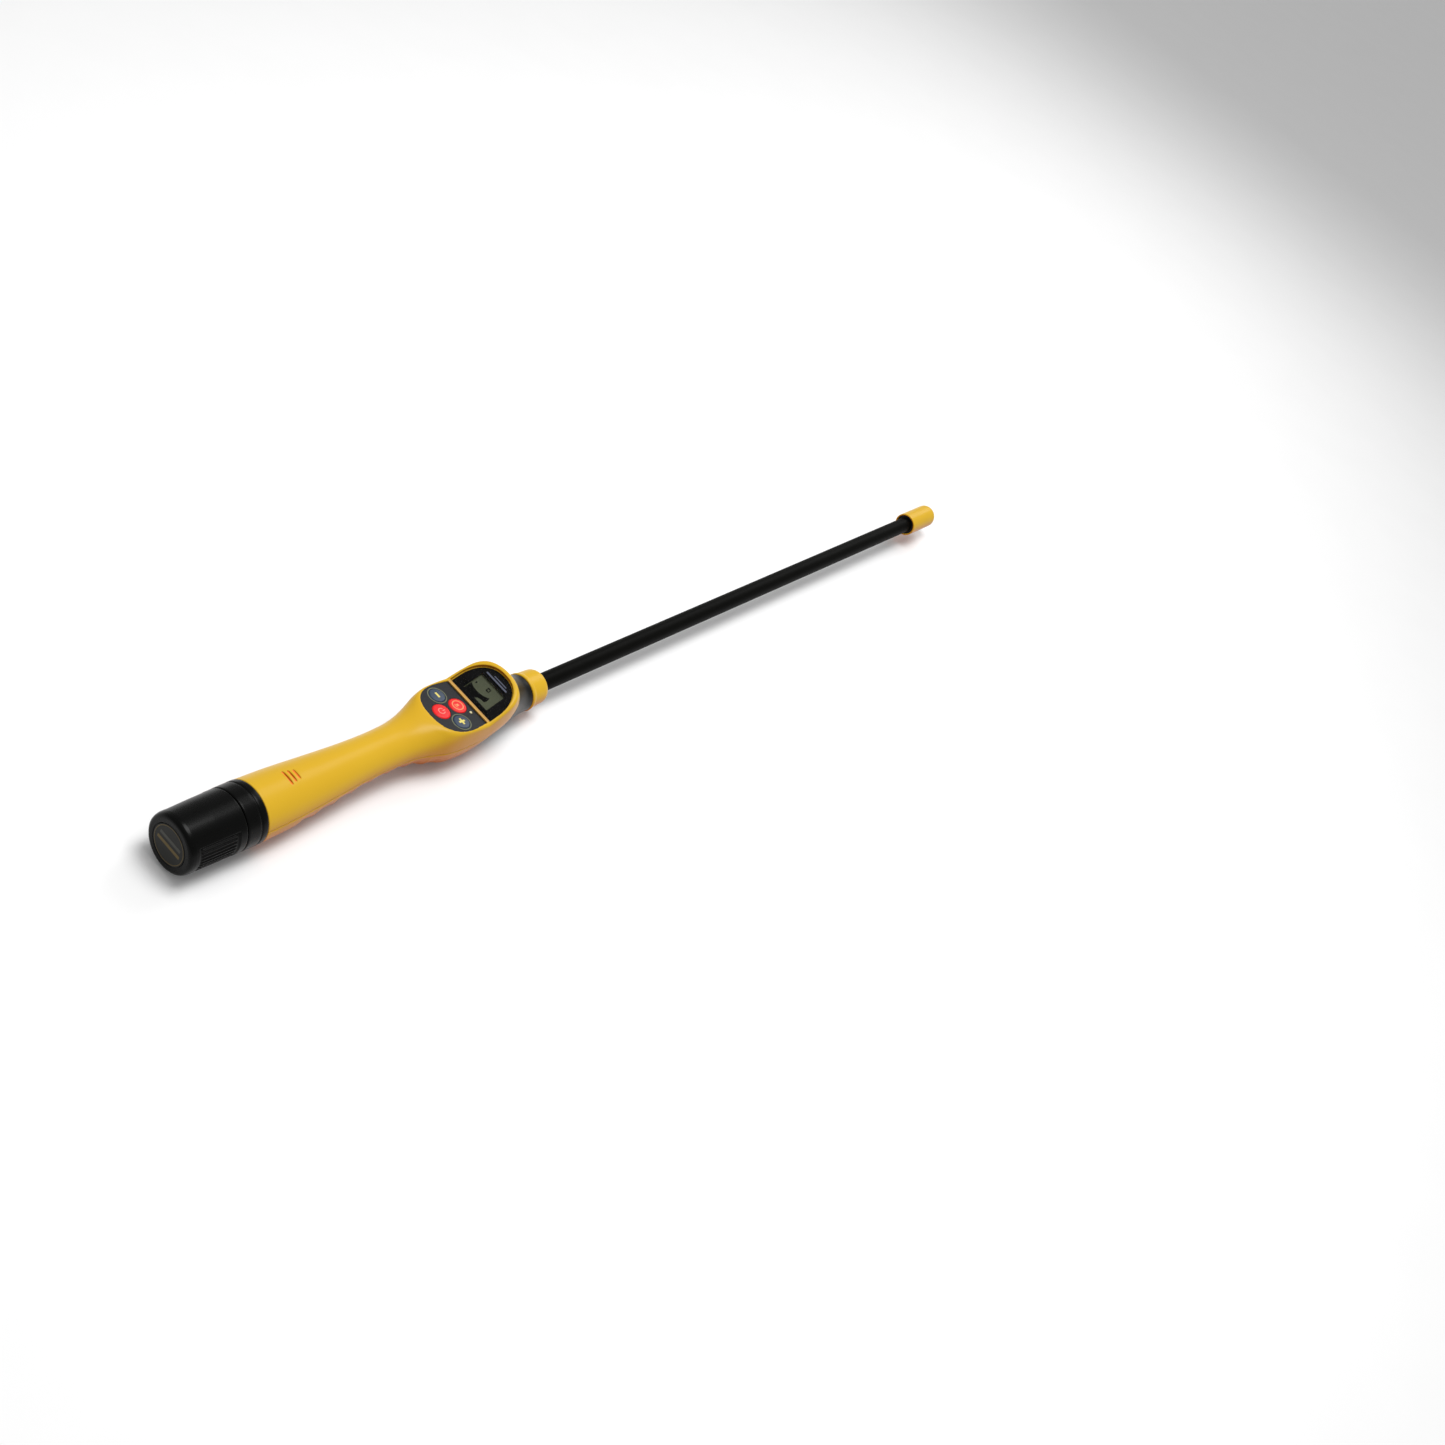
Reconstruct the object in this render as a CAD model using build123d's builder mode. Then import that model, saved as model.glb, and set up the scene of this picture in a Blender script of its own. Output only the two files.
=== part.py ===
from build123d import *
import math
import os

os.makedirs("parts", exist_ok=True)

# A hand-held magnetic locator wand: a handle with a display head, a long
# sensor tube in front of it and a battery cap behind it.
# +X runs from the cap to the tip, +Y is the left side, +Z is up.
# The origin is on the surface that the wand lies on, under its mid-length.
# Stations are distances in mm from the end face of the cap.

# ---- driving dimensions ----------------------------------------------------
LENGTH = 1080.0
AXIS_HEIGHT = 26.2
WALL = 2.8

CAP_RADIUS = 25.5
CAP_END = 51.0
RING_END = 70.0
NOSE_END = 371.0
COLLAR_END = 393.5
TUBE_RADIUS = 8.25
TUBE_WALL = 1.25
TUBE_START = 346.0
TIP_START = 1027.0
TIP_RADIUS = 12.4

SEAM_HEIGHT = 3.0
DIVIDER_STATION = 296.5
DIVIDER_HEIGHT = 22.5
KEYPAD_SLOPE = 4.9
DISPLAY_SLOPE = 24.9
PARTING_STATION = 324.7
PARTING_LEAN = 0.473

# Cross-sections of the handle and head, all measured from the wand's axis:
# station, half width, top, bottom, height of the widest point, and how square
# the upper and the lower half are (2 is an ellipse).
BODY_SECTIONS = [
    (70.0, 25.6, 25.5, -25.9, 0.0, 2.0, 2.0),
    (100.0, 24.6, 24.4, -25.9, 0.0, 2.0, 2.0),
    (125.0, 22.9, 22.9, -24.6, 0.3, 2.0, 2.0),
    (150.0, 20.9, 21.9, -20.8, 0.8, 2.0, 2.0),
    (175.0, 19.0, 21.4, -17.2, 2.0, 2.0, 2.0),
    (205.0, 18.3, 21.3, -15.4, 3.2, 2.0, 2.0),
    (222.0, 18.9, 21.9, -16.4, 4.0, 2.1, 2.1),
    (236.0, 21.1, 24.0, -18.9, 4.8, 2.3, 2.2),
    (248.0, 24.4, 27.2, -22.2, 6.0, 2.7, 2.3),
    (256.0, 26.8, 31.0, -24.8, 7.0, 3.1, 2.3),
    (266.0, 28.3, 34.5, -26.4, 8.0, 3.4, 2.3),
    (282.0, 29.0, 38.5, -27.4, 9.0, 3.4, 2.3),
    (298.0, 28.7, 44.0, -25.8, 11.0, 3.3, 2.2),
    (312.0, 28.1, 48.0, -21.8, 15.0, 3.2, 2.1),
    (323.0, 26.8, 49.0, -19.2, 17.5, 3.0, 2.1),
    (331.0, 24.8, 46.0, -18.3, 16.0, 2.5, 2.1),
    (336.0, 23.3, 40.5, -18.0, 14.0, 2.3, 2.1),
    (343.0, 21.2, 32.6, -17.6, 9.5, 2.2, 2.1),
    (353.0, 18.6, 24.8, -17.1, 4.2, 2.1, 2.0),
    (363.0, 16.9, 18.8, -16.7, 1.2, 2.0, 2.0),
    (371.0, 16.5, 16.5, -16.5, 0.0, 2.0, 2.0),
]
SECTION_POINTS = 16
SECTION_SPANS = 40

# Depths below the rim of the face.
OVERLAY_DEPTH = 1.2
OVERLAY_THICKNESS = 0.8
KEYPAD_DECK = 4.0
WINDOW_DEPTH = 2.0
WINDOW_THICKNESS = 1.5
MASK_THICKNESS = 0.3
DISPLAY_DECK = 5.5
BOARD_DEPTH = 9.0
BOARD_THICKNESS = 1.6
OVERLAY_FLOOR = OVERLAY_DEPTH + OVERLAY_THICKNESS
WINDOW_FLOOR = WINDOW_DEPTH + WINDOW_THICKNESS
MASK_FLOOR = WINDOW_FLOOR + MASK_THICKNESS
BOARD_FLOOR = BOARD_DEPTH + BOARD_THICKNESS
GAP = 0.1

# Keypad: centres measured from the divider along the face, and across it.
RED_RADIUS = 8.25
BLUE_RADIUS = 7.5
BUTTONS = [
    ("volume_button", -13.1, 0.0, RED_RADIUS),
    ("power_button", -32.7, 0.0, RED_RADIUS),
    ("minus_button", -23.1, 15.6, BLUE_RADIUS),
    ("plus_button", -23.1, -15.6, BLUE_RADIUS),
]
BUTTON_TRAVEL = 0.8
LED_PLACE = (-6.4, -10.2)
LED_RADIUS = 1.4

LCD_CENTRE = 17.0
LCD_LENGTH = 20.0
LCD_WIDTH = 29.4

# Battery cartridge: four AA cells round a central rod.
CELL_RADIUS = 7.2
CELL_LENGTH = 49.0
CELL_CIRCLE = 10.5
CARRIER_RADIUS = 18.6
CELL_START = 14.0
CARRIER_END = 69.0

# Housing screws on the centre line: station, height of the head's seat, and the
# heights inside the bottom and top walls where their posts start and end.
SCREWS = [
    (128.0, -17.0, -22.8, 21.2),
    (188.0, -10.0, -15.0, 19.8),
    (248.0, -15.0, -20.6, 24.0),
]
POST_RADIUS = 4.2
SCREW_RADIUS = 1.45
SCREW_HEAD_RADIUS = 2.7
SCREW_HEAD_HEIGHT = 2.0
SCREW_REACH = 7.0

SPEAKER_STATION = 105.5
SPEAKER_RADIUS = 14.0
SPEAKER_TOP = 15.8

# ---- planes ----------------------------------------------------------------
CAP_FACE = -LENGTH / 2
AXIAL = Plane(origin=(CAP_FACE, 0, AXIS_HEIGHT), x_dir=(1, 0, 0), z_dir=(0, -1, 0))
MAIN_AXIS = Axis((CAP_FACE, 0, AXIS_HEIGHT), (1, 0, 0))
DIVIDER = (CAP_FACE + DIVIDER_STATION, 0, AXIS_HEIGHT + DIVIDER_HEIGHT)
LEVEL = Plane(origin=(CAP_FACE, 0, AXIS_HEIGHT))


def sloping_plane(degrees):
    """Plane through the divider, local X forward along the face, local Y left."""
    angle = math.radians(degrees)
    along = (math.cos(angle), 0, math.sin(angle))
    normal = (-math.sin(angle), 0, math.cos(angle))
    return Plane(origin=DIVIDER, x_dir=along, z_dir=normal)


KEYPAD = sloping_plane(-KEYPAD_SLOPE)
DISPLAY = sloping_plane(DISPLAY_SLOPE)


def across(station):
    """Plane square to the axis; local X is left, local Y is up."""
    return Plane(
        origin=(CAP_FACE + station, 0, AXIS_HEIGHT), x_dir=(0, 1, 0), z_dir=(1, 0, 0)
    )


def level(height):
    """Horizontal plane at a height above the axis, its origin at the cap's end."""
    return LEVEL.offset(height)


def section_slope(index, column):
    """Rate of change of one section value along the body, at a given section."""
    before = BODY_SECTIONS[max(index - 1, 0)]
    here = BODY_SECTIONS[index]
    after = BODY_SECTIONS[min(index + 1, len(BODY_SECTIONS) - 1)]
    if before is here or after is here:
        return (after[column] - before[column]) / (after[0] - before[0])
    behind = here[0] - before[0]
    ahead = after[0] - here[0]
    rise_behind = (here[column] - before[column]) / behind
    rise_ahead = (after[column] - here[column]) / ahead
    return (rise_behind * ahead + rise_ahead * behind) / (behind + ahead)


def section_at(station):
    """Section values at any station, on smooth curves through the given sections."""
    index = len(BODY_SECTIONS) - 2
    while BODY_SECTIONS[index][0] > station:
        index -= 1
    start = BODY_SECTIONS[index]
    end = BODY_SECTIONS[index + 1]
    span = end[0] - start[0]
    t = (station - start[0]) / span
    values = [station]
    for column in range(1, len(start)):
        values.append(
            start[column] * (2 * t**3 - 3 * t**2 + 1)
            + end[column] * (3 * t**2 - 2 * t**3)
            + section_slope(index, column) * span * (t**3 - 2 * t**2 + t)
            + section_slope(index + 1, column) * span * (t**3 - t**2)
        )
    return values


def section_outline(section, inset):
    """Points round one cross-section of the body, drawn in by the inset."""
    _, half_width, top, bottom, widest, upper, lower = section
    points = []
    for step in range(SECTION_POINTS):
        angle = 2 * math.pi * step / SECTION_POINTS
        cosine = math.cos(angle)
        sine = math.sin(angle)
        squareness = upper if sine >= 0 else lower
        reach = top - inset - widest if sine >= 0 else widest - bottom - inset
        y = (half_width - inset) * math.copysign(abs(cosine) ** (2 / squareness), cosine)
        z = widest + reach * math.copysign(abs(sine) ** (2 / squareness), sine)
        points.append((y, z))
    return points


def body_form(inset):
    """Solid lofted through evenly spaced sections of the body, drawn in by the inset."""
    spacing = (NOSE_END - RING_END) / SECTION_SPANS
    with BuildPart() as form:
        for step in range(SECTION_SPANS + 1):
            section = section_at(RING_END + spacing * step)
            with BuildSketch(across(section[0])):
                with BuildLine():
                    Spline(*section_outline(section, inset), periodic=True)
                make_face()
        loft()
    return form.part


def above_face(keypad_depth, display_depth):
    """Wedge that holds everything above the face, at these depths below its rim."""
    keypad_back = -90.0
    display_front = 60.0
    lift = 60.0
    keypad = math.radians(-KEYPAD_SLOPE)
    display = math.radians(DISPLAY_SLOPE)

    def on_face(angle, along, depth):
        return (
            DIVIDER_STATION + along * math.cos(angle) + depth * math.sin(angle),
            DIVIDER_HEIGHT + along * math.sin(angle) - depth * math.cos(angle),
        )

    back = on_face(keypad, keypad_back, keypad_depth)
    front = on_face(display, display_front, display_depth)
    start = on_face(keypad, 0, keypad_depth)
    rise = on_face(display, 0, display_depth)
    fall = math.tan(keypad)
    climb = math.tan(display)
    corner = (rise[1] - start[1] + fall * start[0] - climb * rise[0]) / (fall - climb)
    bottom = (corner, start[1] + fall * (corner - start[0]))
    with BuildPart() as wedge:
        with BuildSketch(AXIAL):
            with BuildLine():
                Polyline(
                    back, bottom, front, (front[0], front[1] + lift), (back[0], front[1] + lift),
                    close=True,
                )
            make_face()
        extrude(amount=CAP_RADIUS * 2, both=True)
    return wedge.part


def parting_plane():
    """Leaning plane between the yellow housing and the nose."""
    normal = Vector(1, 0, -PARTING_LEAN).normalized()
    along = Vector(PARTING_LEAN, 0, 1).normalized()
    middle = Vector(CAP_FACE + PARTING_STATION, 0, AXIS_HEIGHT)
    return Plane(origin=middle, x_dir=along, z_dir=normal)


def turned(points):
    """Solid of revolution about the wand's axis from (station, radius) points."""
    with BuildPart() as shape:
        with BuildSketch(AXIAL):
            with BuildLine():
                Polyline(*points, close=True)
            make_face()
        revolve(axis=MAIN_AXIS)
    return shape.part


def finish(part, label):
    """Name a finished piece and write its file."""
    part.label = label
    export_step(part, f"parts/{label}.step")


def keypad_half_width(along, inset):
    """Half width of the keypad's opening at a distance from the divider."""
    straight = 16.0
    widest = 26.0 - inset
    run = 29.8 - inset
    share = min(1.0, max(0.0, (-along - straight) / run))
    taper = 0.09 * max(0.0, along + straight)
    return widest * (1 - share**2.5) ** (1 / 2.5) - taper


def display_half_width(along, inset):
    """Half width of the display's opening at a distance from the divider."""
    straight = 8.0
    widest = 25.0 - inset
    run = 31.1 - inset
    share = min(1.0, max(0.0, (along - straight) / run))
    return widest * (1 - share**2.3) ** (1 / 2.3)


def opening_outline(half_width, near, far, inset):
    """Points from the divider round the far end of an opening and back."""
    shares = [0.0, 0.2, 0.4, 0.6, 0.75, 0.86, 0.94, 0.985]
    stations = [near + (far - near) * share for share in shares]
    side = [(along, half_width(along, inset)) for along in stations]
    return side + [(far, 0.0)] + [(along, -width) for along, width in reversed(side)]


def face_slab(plane, outline, near, far):
    """Slab with an opening's outline, between two depths below the rim."""
    with BuildPart() as slab:
        with BuildSketch(plane.offset(-near)):
            with BuildLine():
                Spline(*outline)
                Line(outline[-1], outline[0])
            make_face()
        extrude(amount=near - far)
    return slab.part


def keypad_outline(inset):
    return opening_outline(keypad_half_width, -1.6 - inset, -45.8 + inset, inset)


def display_outline(inset):
    return opening_outline(display_half_width, 1.6 + inset, 39.1 - inset, inset)


# ---- battery cap -----------------------------------------------------------
SKIRT_RADIUS = 21.5
SKIRT_BORE = 19.4
SKIRT_END = 62.0
CAP_BORE = 22.6
CAP_FLOOR = 4.0
LABEL_RADIUS = 17.0
LABEL_DEPTH = 0.8
GROOVE_START = 55.0
GROOVE_WIDTH = 2.4
GROOVE_DEPTH = 1.7
PANEL_START = 8.0
PANEL_END = 44.0
PANEL_HALF_WIDTH = 15.5
PANEL_DEPTH = 1.2
PANEL_RIBS = 9

with BuildPart() as battery_cap:
    with BuildSketch(AXIAL):
        with BuildLine():
            Polyline(
                (LABEL_DEPTH, 0), (LABEL_DEPTH, LABEL_RADIUS), (0, LABEL_RADIUS + 0.6),
                (0, 21.0), (0.9, 23.0), (2.4, 24.1), (5, 24.6), (27, 25.2),
                (CAP_END - 0.6, CAP_RADIUS), (CAP_END - 0.1, CAP_RADIUS - 0.5),
                (CAP_END - 0.1, SKIRT_RADIUS),
                (GROOVE_START, SKIRT_RADIUS), (GROOVE_START, SKIRT_RADIUS - GROOVE_DEPTH),
                (GROOVE_START + GROOVE_WIDTH, SKIRT_RADIUS - GROOVE_DEPTH),
                (GROOVE_START + GROOVE_WIDTH, SKIRT_RADIUS),
                (SKIRT_END, SKIRT_RADIUS), (SKIRT_END, SKIRT_BORE), (46.5, SKIRT_BORE),
                (43.5, CAP_BORE - 0.8), (CAP_FLOOR, CAP_BORE - 1.2), (CAP_FLOOR, 5.0),
                (8.6, 5.0), (8.6, 0), close=True,
            )
        make_face()
    revolve(axis=MAIN_AXIS)
    for side in (1, -1):
        panel = Plane(
            origin=(CAP_FACE, side * (CAP_RADIUS + 1), AXIS_HEIGHT),
            x_dir=(1, 0, 0),
            z_dir=(0, side, 0),
        )
        # The recess follows the cap's round wall, so it is cut by a ring segment.
        with BuildSketch(panel):
            with Locations(((PANEL_START + PANEL_END) / 2, 0)):
                RectangleRounded(PANEL_END - PANEL_START, 2 * PANEL_HALF_WIDTH, 4)
        recess = extrude(amount=-12, mode=Mode.PRIVATE)
        keep = turned([(0, 0), (LENGTH / 10, 0), (LENGTH / 10, 24.2), (0, 23.6)])
        add(recess - keep, mode=Mode.SUBTRACT)
        rib_pitch = 2 * (PANEL_HALF_WIDTH - 2.5) / (PANEL_RIBS - 1)
        with BuildSketch(panel):
            with Locations(((PANEL_START + PANEL_END) / 2, 0)):
                with GridLocations(0, rib_pitch, 1, PANEL_RIBS):
                    SlotOverall(PANEL_END - PANEL_START - 6, 1.3)
        bars = extrude(amount=-12, mode=Mode.PRIVATE)
        hull = turned([(0, 23.0), (0, 24.3), (LENGTH / 10, 25.4), (LENGTH / 10, 23.0)])
        add(bars & hull)
    with BuildSketch(across(8.6)):
        Circle(1.5)
    extrude(amount=-3.6, mode=Mode.SUBTRACT)
finish(battery_cap.part, "battery_cap")

with BuildPart() as cap_label:
    with BuildSketch(across(0.2)):
        Circle(LABEL_RADIUS - 0.3)
    extrude(amount=LABEL_DEPTH - 0.2)
finish(cap_label.part, "cap_label")

with BuildPart() as cap_seal:
    with BuildSketch(AXIAL):
        with Locations((GROOVE_START + GROOVE_WIDTH / 2, SKIRT_RADIUS - GROOVE_DEPTH + 0.86)):
            Circle(0.85)
    revolve(axis=MAIN_AXIS)
finish(cap_seal.part, "cap_seal")

with BuildPart() as cap_pivot_screw:
    with BuildSketch(across(5.0)):
        Circle(1.5)
    extrude(amount=6.7)
    with BuildSketch(across(11.7)):
        Circle(2.9)
    extrude(amount=1.6)
    with BuildSketch(across(13.3)):
        Rectangle(4.6, 0.8)
    extrude(amount=-0.8, mode=Mode.SUBTRACT)
finish(cap_pivot_screw.part, "cap_pivot_screw")

# ---- battery cartridge -----------------------------------------------------
DISC = 2.5
CARRIER_START = 9.0

with BuildPart() as battery_carrier:
    for start in (CARRIER_START, CARRIER_END - DISC):
        with BuildSketch(across(start)):
            Circle(CARRIER_RADIUS)
        extrude(amount=DISC)
    with BuildSketch(across(17.0)):
        Circle(2.7)
        with PolarLocations(CARRIER_RADIUS - 2.3, 4, start_angle=0):
            Circle(1.9)
    extrude(amount=CARRIER_END - DISC - 17.0)
    with BuildSketch(across(CARRIER_START + DISC)):
        with PolarLocations(CARRIER_RADIUS - 2.3, 4, start_angle=0):
            Circle(1.9)
    extrude(amount=17.0 - CARRIER_START - DISC)
    with BuildSketch(across(CARRIER_START)):
        Circle(1.6)
    extrude(amount=DISC, mode=Mode.SUBTRACT)
finish(battery_carrier.part, "battery_carrier")

for number in range(4):
    turn = math.radians(45 + 90 * number)
    flipped = number % 2
    axis_point = (
        CAP_FACE + CELL_START + (CELL_LENGTH + 1.0) * flipped,
        CELL_CIRCLE * math.cos(turn),
        AXIS_HEIGHT + CELL_CIRCLE * math.sin(turn),
    )
    heading = -1 if flipped else 1
    cell_base = Plane(origin=axis_point, x_dir=(0, 1, 0), z_dir=(heading, 0, 0))
    with BuildPart() as cell:
        with BuildSketch(cell_base):
            Circle(CELL_RADIUS)
        extrude(amount=CELL_LENGTH)
        fillet(cell.edges(), 0.5)
        with BuildSketch(cell_base.offset(CELL_LENGTH)):
            Circle(2.7)
        extrude(amount=1.0)
    finish(cell.part, f"battery_cell_{number + 1}")

REAR_STRIP = CARRIER_START + DISC
FRONT_STRIP = CELL_START + CELL_LENGTH + 1.0
with BuildPart() as carrier_contacts:
    for start, end, angles in (
        (REAR_STRIP, CELL_START, (90, 270)), (FRONT_STRIP, CARRIER_END - DISC, (0, 180)),
    ):
        for angle in angles:
            with BuildSketch(across(start)):
                with Locations(Rotation(0, 0, angle) * Location((9.6, 0))):
                    RectangleRounded(8.0, 20.0, 3.0)
            extrude(amount=end - start)
    with BuildSketch(across(CARRIER_END)):
        Circle(4.0)
        Circle(15.0)
        Circle(12.0, mode=Mode.SUBTRACT)
        Circle(4.0)
    extrude(amount=0.5)
finish(carrier_contacts.part, "carrier_contacts")

# ---- locking ring and contact plate ---------------------------------------
RING_BORE = 21.6
RING_SPIGOT = 22.2
SPIGOT_END = 78.0
PLATE_START = 71.4
PLATE_END = 73.0

locking_ring = turned([
    (CAP_END + 0.2, RING_BORE), (CAP_END + 0.2, 25.3), (CAP_END + 0.6, 25.7), (62.6, 25.9),
    (63.2, 25.4), (64.2, 25.4), (64.8, 25.9), (RING_END - 0.6, 25.8), (RING_END - 0.1, 25.3),
    (RING_END - 0.1, RING_SPIGOT), (SPIGOT_END, RING_SPIGOT), (SPIGOT_END, 19.0),
    (PLATE_END, 19.0), (PLATE_END, RING_BORE),
])
finish(locking_ring, "locking_ring")

with BuildPart() as contact_plate:
    with BuildSketch(across(PLATE_START)):
        Circle(RING_BORE - 0.1)
    extrude(amount=PLATE_END - PLATE_START)
finish(contact_plate.part, "contact_plate")

with BuildPart() as plate_springs:
    for y, z in ((0, 0), (13.5, 0), (-13.5, 0)):
        with BuildSketch(across(PLATE_START)):
            with Locations((y, z)):
                Circle(1.1)
        extrude(amount=CARRIER_END + 0.55 - PLATE_START)
finish(plate_springs.part, "plate_springs")

# ---- housing ---------------------------------------------------------------
outer_form = body_form(0)
inner_form = body_form(WALL)
face_wedge = above_face(0, 0)
deck_wedge = above_face(KEYPAD_DECK, DISPLAY_DECK)

PAD_START = 250.0
PAD_END = 314.0

with BuildPart() as housing:
    add(outer_form)
    add(face_wedge, mode=Mode.SUBTRACT)
    split(bisect_by=parting_plane(), keep=Keep.BOTTOM)
    add(inner_form - deck_wedge, mode=Mode.SUBTRACT)
    with BuildSketch(level(-AXIS_HEIGHT)):
        with Locations(((PAD_START + PAD_END) / 2, 0)):
            Rectangle(PAD_END - PAD_START, 2 * CAP_RADIUS)
    extrude(amount=-5, mode=Mode.SUBTRACT)
    add(face_slab(KEYPAD, keypad_outline(0), -1, OVERLAY_FLOOR), mode=Mode.SUBTRACT)
    add(face_slab(DISPLAY, display_outline(0), -1, MASK_FLOOR), mode=Mode.SUBTRACT)
    for _, along, side, radius in BUTTONS:
        with BuildSketch(KEYPAD):
            with Locations((along, side)):
                Circle(radius + GAP)
        extrude(amount=-KEYPAD_DECK - 1, mode=Mode.SUBTRACT)
    with BuildSketch(KEYPAD):
        with Locations(LED_PLACE):
            Circle(LED_RADIUS + GAP)
    extrude(amount=-KEYPAD_DECK - 1, mode=Mode.SUBTRACT)
    with BuildSketch(DISPLAY):
        with Locations((LCD_CENTRE, 0)):
            RectangleRounded(LCD_LENGTH + 1.2, LCD_WIDTH + 1.2, 1.0)
    extrude(amount=-DISPLAY_DECK - 1, mode=Mode.SUBTRACT)
    for offset, half_length in ((-4.5, 7.0), (0.0, 5.8), (4.5, 4.7)):
        with BuildSketch(level(SPEAKER_TOP + 1)):
            with Locations((SPEAKER_STATION + offset, 0)):
                SlotOverall(2 * half_length, 1.7, rotation=90)
        extrude(amount=15, mode=Mode.SUBTRACT)


seam = level(SEAM_HEIGHT)
with BuildPart() as lower_housing:
    add(housing.part)
    split(bisect_by=seam, keep=Keep.BOTTOM)
    for station, seat, base, _ in SCREWS:
        with BuildSketch(level(base)):
            with Locations((station, 0)):
                Circle(POST_RADIUS)
        extrude(amount=SEAM_HEIGHT - base)
    for station, seat, _, _ in SCREWS:
        with BuildSketch(level(seat - 1)):
            with Locations((station, 0)):
                Circle(SCREW_RADIUS + 0.05)
        extrude(amount=AXIS_HEIGHT, mode=Mode.SUBTRACT)
        with BuildSketch(level(seat)):
            with Locations((station, 0)):
                Circle(SCREW_HEAD_RADIUS + 0.3)
        extrude(amount=-AXIS_HEIGHT, mode=Mode.SUBTRACT)
finish(lower_housing.part, "lower_housing")

with BuildPart() as upper_housing:
    add(housing.part)
    split(bisect_by=seam, keep=Keep.TOP)
    for station, _, _, top in SCREWS:
        with BuildSketch(seam):
            with Locations((station, 0)):
                Circle(POST_RADIUS - 0.8)
        extrude(amount=top - SEAM_HEIGHT)
        with BuildSketch(seam):
            with Locations((station, 0)):
                Circle(SCREW_RADIUS + 0.05)
        extrude(amount=SCREW_REACH + 0.5, mode=Mode.SUBTRACT)
finish(upper_housing.part, "upper_housing")

with BuildPart() as housing_screws:
    for station, seat, _, _ in SCREWS:
        with BuildSketch(level(seat)):
            with Locations((station, 0)):
                Circle(SCREW_RADIUS)
        extrude(amount=SEAM_HEIGHT + SCREW_REACH - seat)
        with BuildSketch(level(seat)):
            with Locations((station, 0)):
                Circle(SCREW_HEAD_RADIUS)
        extrude(amount=-SCREW_HEAD_HEIGHT)
finish(housing_screws.part, "housing_screws")

# ---- keypad ----------------------------------------------------------------
FLANGE = 0.9
MAT_DEPTH = 5.9
MAT_FLOOR = 6.7
STEM_END = 6.1
SWITCH_HEIGHT = 1.6

with BuildPart() as keypad_overlay:
    add(face_slab(KEYPAD, keypad_outline(GAP), OVERLAY_DEPTH, OVERLAY_FLOOR))
    for _, along, side, radius in BUTTONS:
        with BuildSketch(KEYPAD):
            with Locations((along, side)):
                Circle(radius + GAP)
        extrude(amount=-KEYPAD_DECK, mode=Mode.SUBTRACT)
    with BuildSketch(KEYPAD):
        with Locations(LED_PLACE):
            Circle(LED_RADIUS + GAP)
    extrude(amount=-KEYPAD_DECK, mode=Mode.SUBTRACT)
finish(keypad_overlay.part, "keypad_overlay")

for name, along, side, radius in BUTTONS:
    with BuildPart() as button:
        with BuildSketch(KEYPAD.offset(-KEYPAD_DECK - GAP)):
            with Locations((along, side)):
                Circle(radius)
        extrude(amount=KEYPAD_DECK + GAP - 0.4)
        fillet(button.faces().sort_by(Axis.Z)[-1].edges(), 0.8)
        with BuildSketch(KEYPAD.offset(-KEYPAD_DECK - GAP)):
            with Locations((along, side)):
                Circle(radius + 0.8)
        extrude(amount=-FLANGE)
        with BuildSketch(KEYPAD.offset(-KEYPAD_DECK - GAP - FLANGE)):
            with Locations((along, side)):
                Circle(2.0)
        extrude(amount=KEYPAD_DECK + GAP + FLANGE - STEM_END)
    finish(button.part, name)

with BuildPart() as button_mat:
    with BuildSketch(KEYPAD.offset(-MAT_DEPTH)):
        with Locations((-22.5, 0)):
            RectangleRounded(36, 42, 6)
        with Locations([(along, side) for _, along, side, _ in BUTTONS]):
            Circle(3.0, mode=Mode.SUBTRACT)
        with Locations(LED_PLACE):
            Circle(LED_RADIUS + 0.3, mode=Mode.SUBTRACT)
    extrude(amount=MAT_DEPTH - MAT_FLOOR)
finish(button_mat.part, "button_mat")

for name, along, side, _ in BUTTONS:
    with BuildPart() as switch:
        with BuildSketch(KEYPAD.offset(-BOARD_DEPTH)):
            with Locations((along, side)):
                RectangleRounded(6.0, 6.0, 0.5)
        extrude(amount=SWITCH_HEIGHT)
        with BuildSketch(KEYPAD.offset(-BOARD_DEPTH + SWITCH_HEIGHT)):
            with Locations((along, side)):
                Circle(1.5)
        extrude(amount=BOARD_DEPTH - SWITCH_HEIGHT - STEM_END - BUTTON_TRAVEL - 0.05)
    finish(switch.part, name.replace("button", "switch"))

with BuildPart() as status_led:
    with BuildSketch(KEYPAD.offset(-BOARD_DEPTH)):
        with Locations(LED_PLACE):
            Circle(LED_RADIUS)
    extrude(amount=BOARD_DEPTH - OVERLAY_DEPTH + 0.3)
    fillet(status_led.faces().sort_by(Axis.Z)[-1].edges(), 0.5)
finish(status_led.part, "status_led")

# ---- main board ------------------------------------------------------------
BOARD_CENTRE = -22.5
BOARD_LENGTH = 38.0
BOARD_WIDTH = 42.0

with BuildPart() as main_board:
    with BuildSketch(KEYPAD.offset(-BOARD_DEPTH)):
        with Locations((BOARD_CENTRE, 0)):
            RectangleRounded(BOARD_LENGTH, BOARD_WIDTH, 3.0)
    extrude(amount=-BOARD_THICKNESS)
finish(main_board.part, "main_board")

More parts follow.
